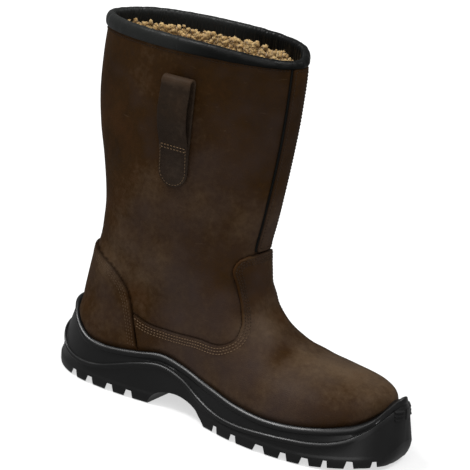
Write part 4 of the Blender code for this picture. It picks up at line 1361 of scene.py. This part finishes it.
def make_loop(name, side, finish, thread, node):
    """Strap folded at the top, its two ends sewn down as a rounded tab."""
    def at(out, z):
        return np.array([LOOP_CENTRE, side * (float(shaft_value("half", z)) + LOOP_GAP + out), z])

    half = STRAP / 2
    ramp = LOOP_STITCH - TAB_RAMP
    fold = LOOP_TOP - FOLD_RISE
    rows = [(half, z) for z in np.linspace(LOOP_TIP + 0.3, ramp, 14)]
    rows += [(half + STRAP * float(ease(0, 1, t)), ramp + TAB_RAMP * t) for t in np.linspace(0.15, 1, 6)]
    tab_rows = len(rows)
    for t in np.linspace(0.06, 1, 26):
        bow = LOOP_BOW * math.sin(math.pi / 2 * min(t / BOW_FULL, 1.0))
        bow *= 1 - FOLD_CLOSING * float(ease(BOW_FULL, 1.0, t))
        rows.append((half + STRAP + bow, LOOP_STITCH + (fold - LOOP_STITCH) * t))
    top_out = rows[-1][0]
    for a in np.linspace(0.15, 1, 9) * math.pi:
        rows.append((half + (top_out - half) * (1 + math.cos(a)) / 2, fold + FOLD_RISE * math.sin(a)))
    rows += [(half, z) for z in np.linspace(fold - 2.0, LOOP_STITCH - LOOP_END, 16)]
    path = np.array([at(out, z) for out, z in rows])
    tangent = unit(np.gradient(path, axis=0))
    outs = np.cross(tangent, np.array([1.0, 0.0, 0.0])) * -side
    radius = LOOP_WIDTH / 2
    rise = np.clip(np.array([z for _, z in rows]) - LOOP_TIP, 0.05, radius)
    rounded = 2 * np.sqrt(radius ** 2 - (radius - rise) ** 2)
    widths = np.where(np.arange(len(rows)) < tab_rows, rounded, LOOP_WIDTH)
    mesh = strap_mesh(name, path, outs, widths)
    flat = np.array([v.co for v in mesh.vertices]) / MM + ORIGIN
    light, warm = tone(flat, np.zeros(len(flat)))
    # Painted highlight: the strap lighter and warmer towards its top fold, where the fold catches the light
    painted_fold_highlight = FOLD_HIGHLIGHT * ease(LOOP_TOP - FOLD_FADE, LOOP_TOP, flat[:, 2])
    paint(mesh, light * STRAP_TONE - STRAP_DARKER + painted_fold_highlight,
          warm * STRAP_WARMTH - STRAP_COOLER + painted_fold_highlight, np.zeros(len(flat)))
    piece(name, mesh, finish, [node])
    loop_stitches(name + "_stitches", side, at, thread)


def loop_stitches(name, side, at, thread):
    """Stitches round the tab and a double row across its top."""
    inset = LOOP_WIDTH / 2 - TAB_MARGIN
    low = LOOP_TIP + LOOP_WIDTH / 2
    top = LOOP_STITCH - TAB_SEAM_TOP
    left, right = LOOP_CENTRE - inset, LOOP_CENTRE + inset
    bend = [(LOOP_CENTRE + inset * math.cos(a), low + inset * math.sin(a))
            for a in np.linspace(math.pi, 2 * math.pi, 20)]
    lines = [[(left, top), (left, low)] + bend + [(right, top)]]
    for drop in LOOP_SEAMS:
        lines.append([(x, LOOP_STITCH - drop) for x in (left, LOOP_CENTRE, right)])
    ends, lightness = [], []
    for line, light in zip(lines, LOOP_THREADS):
        spots = []
        for x, z in line:
            lift = STRAP + STRAP * float(ease(LOOP_STITCH - TAB_RAMP, LOOP_STITCH, z))
            spot = at(lift + 0.05, z)
            spot[0] = x
            spots.append(spot)
        ends.append(stitch_ends(np.array(spots), LOOP_PITCH))
        lightness.append(np.full(len(ends[-1]), light))
    ends = np.concatenate(ends)
    ups = np.tile([0.0, float(side), 0.0], (len(ends), 1))
    add_stitches(name, ends, ups, np.concatenate(lightness), thread, LOOP_STITCH_RADIUS)


# Sole


def sole_ring(inset, height, count=SOLE_POINTS):
    """Ring round the sole at inset(x) from its outline and at height(x)."""
    half_length = TOE_FRONT / 2
    scaled = np.arctan2(OUTLINE[:, 1] / SOLE_HALF_WIDTH, (OUTLINE[:, 0] - half_length) / half_length)
    order = np.argsort(scaled)
    angles = (column_angles(count) + math.pi) % (2 * math.pi) - math.pi
    plan = np.column_stack([
        np.interp(angles, scaled[order], OUTLINE[order, k], period=2 * math.pi) for k in (0, 1)])
    moved = plan + inward_normals(plan) * inset(plan[:, 0])[:, None]
    return np.column_stack([moved, height(moved[:, 0])])


def wall_lean(x, z):
    """How far the sole's side leans in at height z."""
    share = np.clip((z - WALL_LOW) / (sole_height("rim", x) - WALL_LOW), 0, 1)
    return sole_height("lean", x) * share ** 2


def sole_side(name, rise, inset, toe_rise, toe_inset):
    """Ring on the sole's leaning side, changing to its own rise and inset round the toe."""
    def toe_share(x):
        return ease(*TOE_RUN[name], x)

    def height(x):
        return sole_height(name, x) + rise + (toe_rise - rise) * toe_share(x)

    return sole_ring(lambda x: wall_lean(x, height(x)) + inset + (toe_inset - inset) * toe_share(x), height)


def plug(inset, name, rise):
    """Ring of the socket that takes the midsole, upright below the parting line."""
    return sole_ring(lambda x: wall_lean(x, sole_height("mid", x)) + inset,
                     lambda x: sole_height(name, x) + rise)


def rim_seat(share):
    """Ring of the rim's inner face, just outside the upper, from the bed (0) to the top (1)."""
    def height(x):
        lip = x + LIP_BACK * ease(*LIP_RANGE, x)
        return sole_height("bed", x) * (1 - share) + sole_height("rim", lip) * share

    return ring_at(height, SOLE_POINTS, GAP)


def loft_closed(name, rings):
    """Closed mesh through rings, with lids at both ends."""
    count = len(rings[0])
    last = (len(rings) - 1) * count
    faces = grid_faces(len(rings), count) + lid_faces(count, 0) + lid_faces(count, last)
    mesh = new_mesh(name, np.vstack(rings), faces, sharp=SOLE_SHARP)
    fix_normals(mesh)
    return mesh


def apply_boolean(target, tool, operation):
    """Cuts or joins one mesh with another and removes the tool."""
    change = target.modifiers.new(tool.name, "BOOLEAN")
    change.operation = operation
    change.solver = "EXACT"
    change.object = tool
    bpy.context.view_layer.update()
    done = bpy.data.meshes.new_from_object(target.evaluated_get(bpy.context.evaluated_depsgraph_get()))
    target.modifiers.clear()
    target.data = done
    bpy.data.objects.remove(tool)


def bar_mesh(name, bars):
    """Mesh of four-sided bars, each a list of sections."""
    points, faces = [], []
    for sections in bars:
        first = len(points)
        points += [corner for section in sections for corner in section]
        faces += [[first + k for k in face] for face in tube_faces(len(sections), 4)]
    mesh = new_mesh(name, np.array(points), faces, smooth_shading=False)
    fix_normals(mesh)
    return mesh


def relief_corner(reach, z, depth):
    """Point at a reach along the bumper from the toe's front, depth inside its surface."""
    low, high = (sole_side(*OUTSOLE_SIDE[row]) for row in BUMPER_ROWS)
    share = (z - low[:, 2]) / (high[:, 2] - low[:, 2])
    ring = low + (high - low) * share[:, None]
    quarter = len(ring) // 4
    near_toe = np.arange(-quarter, quarter + 1)
    base = ring[near_toe, :2]
    moved = base + inward_normals(ring)[near_toe] * depth
    along = lengths_along(base)
    along -= along[quarter] + TOE_MIDDLE
    return [np.interp(reach, along, moved[:, 0]), np.interp(reach, along, moved[:, 1]), z]


def toe_relief():
    """Three short ribs on each side of the toe and the plain block between them."""
    bars = []
    for row, side in [(TOE_BLOCK, 1.0)] + [(row, side) for row in TOE_RIBS for side in (-1.0, 1.0)]:
        size = dict(zip(RELIEF_COLUMNS, row))
        corners = ((size["low"], -size["proud"]), (size["high"], -size["proud"]),
                   (size["high"] + RELIEF_SPREAD, RELIEF_ROOT), (size["low"] - RELIEF_SPREAD, RELIEF_ROOT))
        reaches = side * np.linspace(size["near"], size["far"], RELIEF_POINTS)
        bars.append([[relief_corner(reach, z, depth) for z, depth in corners] for reach in reaches])
    return bar_mesh("toe_relief", bars)


def cut_section(middle, across, low, depth):
    """Four corners of a tapered cut, wide at its mouth under the sole and narrow at its root."""
    corners = []
    for z, wide in ((low - GROOVE_BELOW, GROOVE_DRAFT), (low + depth, 1 / GROOVE_DRAFT)):
        pair = [(*(middle - across * wide), z), (*(middle + across * wide), z)]
        corners += pair if not corners else pair[::-1]
    return corners


def tread_cuts():
    """Tapered grooves between the edge lugs and chevrons down the middle of the tread."""
    toe = int(np.argmax(OUTLINE[:, 0]))
    bars = []
    for row in GROOVES:
        groove = dict(zip(GROOVE_COLUMNS, row))
        low = float(sole_height("bottom", groove["x"]))
        for first, last, side in ((0, toe, 1.0), (toe, len(OUTLINE), -1.0)):
            spot = first + int(np.argmin(np.abs(OUTLINE[first:last, 0] - groove["x"])))
            way = GROOVE_WAY * (1.0, side)
            across = np.array([-way[1], way[0]]) * groove["width"] / 2
            bars.append([cut_section(OUTLINE[spot] + way * reach, across, low, GROOVE_DEPTH)
                         for reach in (-GROOVE_PAST, GROOVE_LENGTH - GROOVE_PAST)])
    for row in CHEVRONS:
        size = dict(zip(CHEVRON_COLUMNS, row))
        low = float(sole_height("bottom", size["x"]))
        sections = []
        for share in (-1.0, 0.0, 1.0):
            x = size["x"] + CHEVRON_RUN * (1 - abs(share))
            middle = np.array([x, size["middle"] + share * size["half"]])
            sections.append(cut_section(middle, np.array([CHEVRON_WIDTH / 2, 0.0]), low, CHEVRON_DEPTH))
        bars.append(sections)
    return bar_mesh("tread_cuts", bars)


def arch_cut():
    curve = curve_through(ARCH, ARCH_POINTS)
    count = len(curve)
    rings = [np.column_stack([curve[:, 0], np.full(count, y), curve[:, 1]])
             for y in (-ARCH_REACH, ARCH_REACH)]
    mesh = new_mesh("arch_cut", np.vstack(rings), tube_faces(len(rings), count), smooth_shading=False)
    fix_normals(mesh)
    return mesh


def make_sole(finish):
    rings = [sole_side(*row) for row in OUTSOLE_SIDE]
    rings += [plug(OUTSOLE_WALL, "mid", 0.0), plug(OUTSOLE_WALL, "floor", 0.0)]
    mesh = loft_closed("outsole_moulded", rings)
    outsole = piece("outsole_moulded", mesh, finish, ["outsole"])
    apply_boolean(outsole, add_object("toe_relief", toe_relief()), "UNION")
    apply_boolean(outsole, add_object("arch_cut", arch_cut()), "DIFFERENCE")
    apply_boolean(outsole, add_object("tread_cuts", tread_cuts()), "DIFFERENCE")
    outsole.data.shade_smooth()
    outsole.data.set_sharp_from_angle(angle=math.radians(SHARP))
    inset = OUTSOLE_WALL + GAP
    rings = [plug(inset, "floor", FLOOR_GAP), plug(inset, "mid", GAP)]
    rings += [sole_side(*row) for row in MIDSOLE_SIDE]
    rings += [rim_seat(share) for share in (1.0, 0.7, 0.3, 0.0)]
    piece("midsole_moulded", loft_closed("midsole_moulded", rings), finish, ["midsole"])


# Inside


def bumps(points):
    """Uneven surface of curly fleece."""
    nearest = np.array([noise.voronoi(Vector(p * FLEECE_CELL))[0][0] for p in points])
    return FLEECE_BUMP * (1.0 - np.minimum(nearest, 1.0))


def make_lining(skin, finish):
    """Fleece inside the upper: fine near the collar with soft lumps, coarser down in the foot."""
    height = skin.points[:, 0, 2]
    seam = int(np.searchsorted(height, LINING_SEAM))
    top = int(np.searchsorted(height, COLLAR_HEIGHT - LINING_TOP))
    shaft_part, foot_part = slice(seam, top), slice(0, seam + 1, FOOT_STEP)
    linings = [("fleece_lining", shaft_part, 1), ("fleece_lining_foot", foot_part, FOOT_STEP)]
    for name, rows, step in linings:
        points, ways = skin.points[rows, ::step], skin.normals[rows, ::step]
        flat, flat_ways = points.reshape(-1, 3), ways.reshape(-1, 3)
        fade = 1 - ease(*LINING_FADE, skin.fleece_level[rows, ::step].ravel())
        inner = flat - flat_ways * (LEATHER + FLEECE_GAP + bumps(flat) * fade)[:, None]
        outer = flat - flat_ways * (LEATHER + LINING_BACK)
        mesh, _ = shell(name, outer, inner, grid_faces(*points.shape[:2]))
        fix_normals(mesh)
        piece(name, mesh, finish)
    make_lumps(skin.points[shaft_part].reshape(-1, 3), skin.normals[shaft_part].reshape(-1, 3),
               skin.fleece_level[shaft_part].ravel(), finish)


def make_lumps(flat, ways, level, finish):
    """Soft uneven lumps of fleece, closest together just under the edging."""
    share = ease(LUMP_LOW, LUMP_DENSE, level) * (level < LUMP_HIGH)
    chosen = RANDOM.choice(len(flat), LUMPS, p=share / share.sum())
    radius = RANDOM.uniform(*LUMP_RADIUS, (LUMPS, 1))
    base = on_leather(flat[chosen] + RANDOM.normal(0.0, LUMP_STRAY, (LUMPS, 3)), 3)
    base -= ways[chosen] * (LEATHER + LUMP_SEAT * radius)
    ball = bmesh.new()
    bmesh.ops.create_icosphere(ball, subdivisions=2, radius=1.0)
    local = np.array([vertex.co for vertex in ball.verts])
    faces = [[vertex.index for vertex in face.verts] for face in ball.faces]
    ball.free()
    size = radius[:, :, None] * RANDOM.uniform(*LUMP_STRETCH, (LUMPS, 1, 3))
    uneven = np.clip(RANDOM.normal(1.0, LUMP_UNEVEN, (LUMPS, len(local), 1)), *LUMP_LIMIT)
    points = base[:, None, :] + local[None, :, :] * size * uneven
    every = repeat_faces(faces, len(local), LUMPS)
    mesh = new_mesh("fleece_lumps", points.reshape(-1, 3), every, sharp=NEVER_SHARP)
    piece("fleece_lumps", mesh, finish)


def make_insole(finish):
    def level(rise):
        return lambda x: sole_height("bed", x) + FLOOR_GAP + rise

    rings = []
    for rise, inset in INSOLE_PROFILE:
        ring = ring_at(level(rise), SKIN_COLUMNS, -LEATHER - INSOLE_GAP - inset)
        ring[:, 2] = level(rise)(ring[:, 0])
        rings.append(ring)
    mesh = loft_closed("insole_fleece", rings)
    piece("insole_fleece", mesh, finish, ["insole"])


# Stage


def make_camera():
    turn, rise, roll = (math.radians(a) for a in (CAMERA_TURN, CAMERA_RISE, CAMERA_ROLL))
    back = np.array([math.sin(turn) * math.cos(rise), -math.cos(turn) * math.cos(rise), math.sin(rise)])
    right = unit(np.cross([0.0, 0.0, 1.0], back))
    up = np.cross(back, right)
    rolled_right = math.cos(roll) * right + math.sin(roll) * up
    rolled_up = -math.sin(roll) * right + math.cos(roll) * up
    data = bpy.data.cameras.new("photo_camera")
    data.sensor_width = SENSOR
    data.lens = SENSOR * CAMERA_ZOOM * CAMERA_DISTANCE / IMAGE_SIZE
    made = add_object("photo_camera", data)
    spot = place(CAMERA_TARGET + back * CAMERA_DISTANCE)
    columns = np.column_stack([rolled_right, rolled_up, back, spot])
    made.matrix_world = Matrix(np.vstack([columns, [0, 0, 0, 1]]).tolist())
    bpy.context.scene.camera = made


def sun_light(name, turn, rise, angle, strength):
    """Soft light from far away."""
    data = bpy.data.lights.new(name, "SUN")
    data.energy = strength
    data.angle = math.radians(angle)
    made = add_object(name, data)
    turn, rise = math.radians(turn), math.radians(rise)
    way = Vector((math.cos(turn) * math.cos(rise), math.sin(turn) * math.cos(rise), math.sin(rise)))
    made.rotation_euler = (-way).to_track_quat("-Z", "Y").to_euler()


def make_stage():
    mesh = bpy.data.meshes.new("floor")
    corners = [(x * FLOOR_HALF, y * FLOOR_HALF, 0) for x, y in ((-1, -1), (1, -1), (1, 1), (-1, 1))]
    mesh.from_pydata(corners, [], [(0, 1, 2, 3)])
    floor = add_object("floor", mesh)
    pale = bpy.data.materials.new("pale_floor")
    pale.use_nodes = True
    shader = pale.node_tree.nodes["Principled BSDF"]
    shader.inputs["Base Color"].default_value = (FLOOR_SHADE, FLOOR_SHADE, FLOOR_SHADE, 1.0)
    shader.inputs["Roughness"].default_value = 0.9
    shader.inputs["Specular IOR Level"].default_value = 0.0
    shader.inputs["Emission Color"].default_value = (1.0, 1.0, 1.0, 1.0)
    shader.inputs["Emission Strength"].default_value = FLOOR_GLOW
    mesh.materials.append(pale)
    floor.visible_glossy = False
    world = bpy.data.worlds.new("studio")
    world.use_nodes = True
    sky = world.node_tree.nodes["Background"]
    sky.inputs["Color"].default_value = (1.0, 1.0, 1.0, 1.0)
    sky.inputs["Strength"].default_value = SKY_STRENGTH
    bpy.context.scene.world = world
    for name, setting in LIGHTS.items():
        sun_light(name, *setting)
    bpy.context.scene.view_settings.view_transform = "Standard"


def main():
    make_camera()
    make_stage()
    leather = leather_finish("brown_leather_oiled", *LEATHER_COLOURS)
    strap = leather_finish("brown_leather_strap", *STRAP_COLOURS)
    edging = edging_finish()
    rubber = sole_finish()
    fleece = fleece_finish()
    thread = thread_finish("brown_thread", *THREAD_COLOURS)
    skin = Skin()
    make_upper(skin, leather)
    make_panel("vamp_leather", skin, skin.vamp, OVERLAY_TOP, leather, ["vamp"])
    make_panel("counter_leather", skin, skin.counter, COUNTER_TOP, leather, ["heel_counter"])
    make_panel("strip_leather", skin, skin.strip, OVERLAY_TOP, leather, ["front_strip"])
    seam_stitches(skin, thread)
    make_pipings(edging)
    make_edging(edging)
    make_loop("loop_outer_strap", -1, strap, thread, "pull_loop_outer")
    make_loop("loop_inner_strap", 1, strap, thread, "pull_loop_inner")
    make_sole(rubber)
    make_lining(skin, fleece)
    make_insole(fleece)


main()
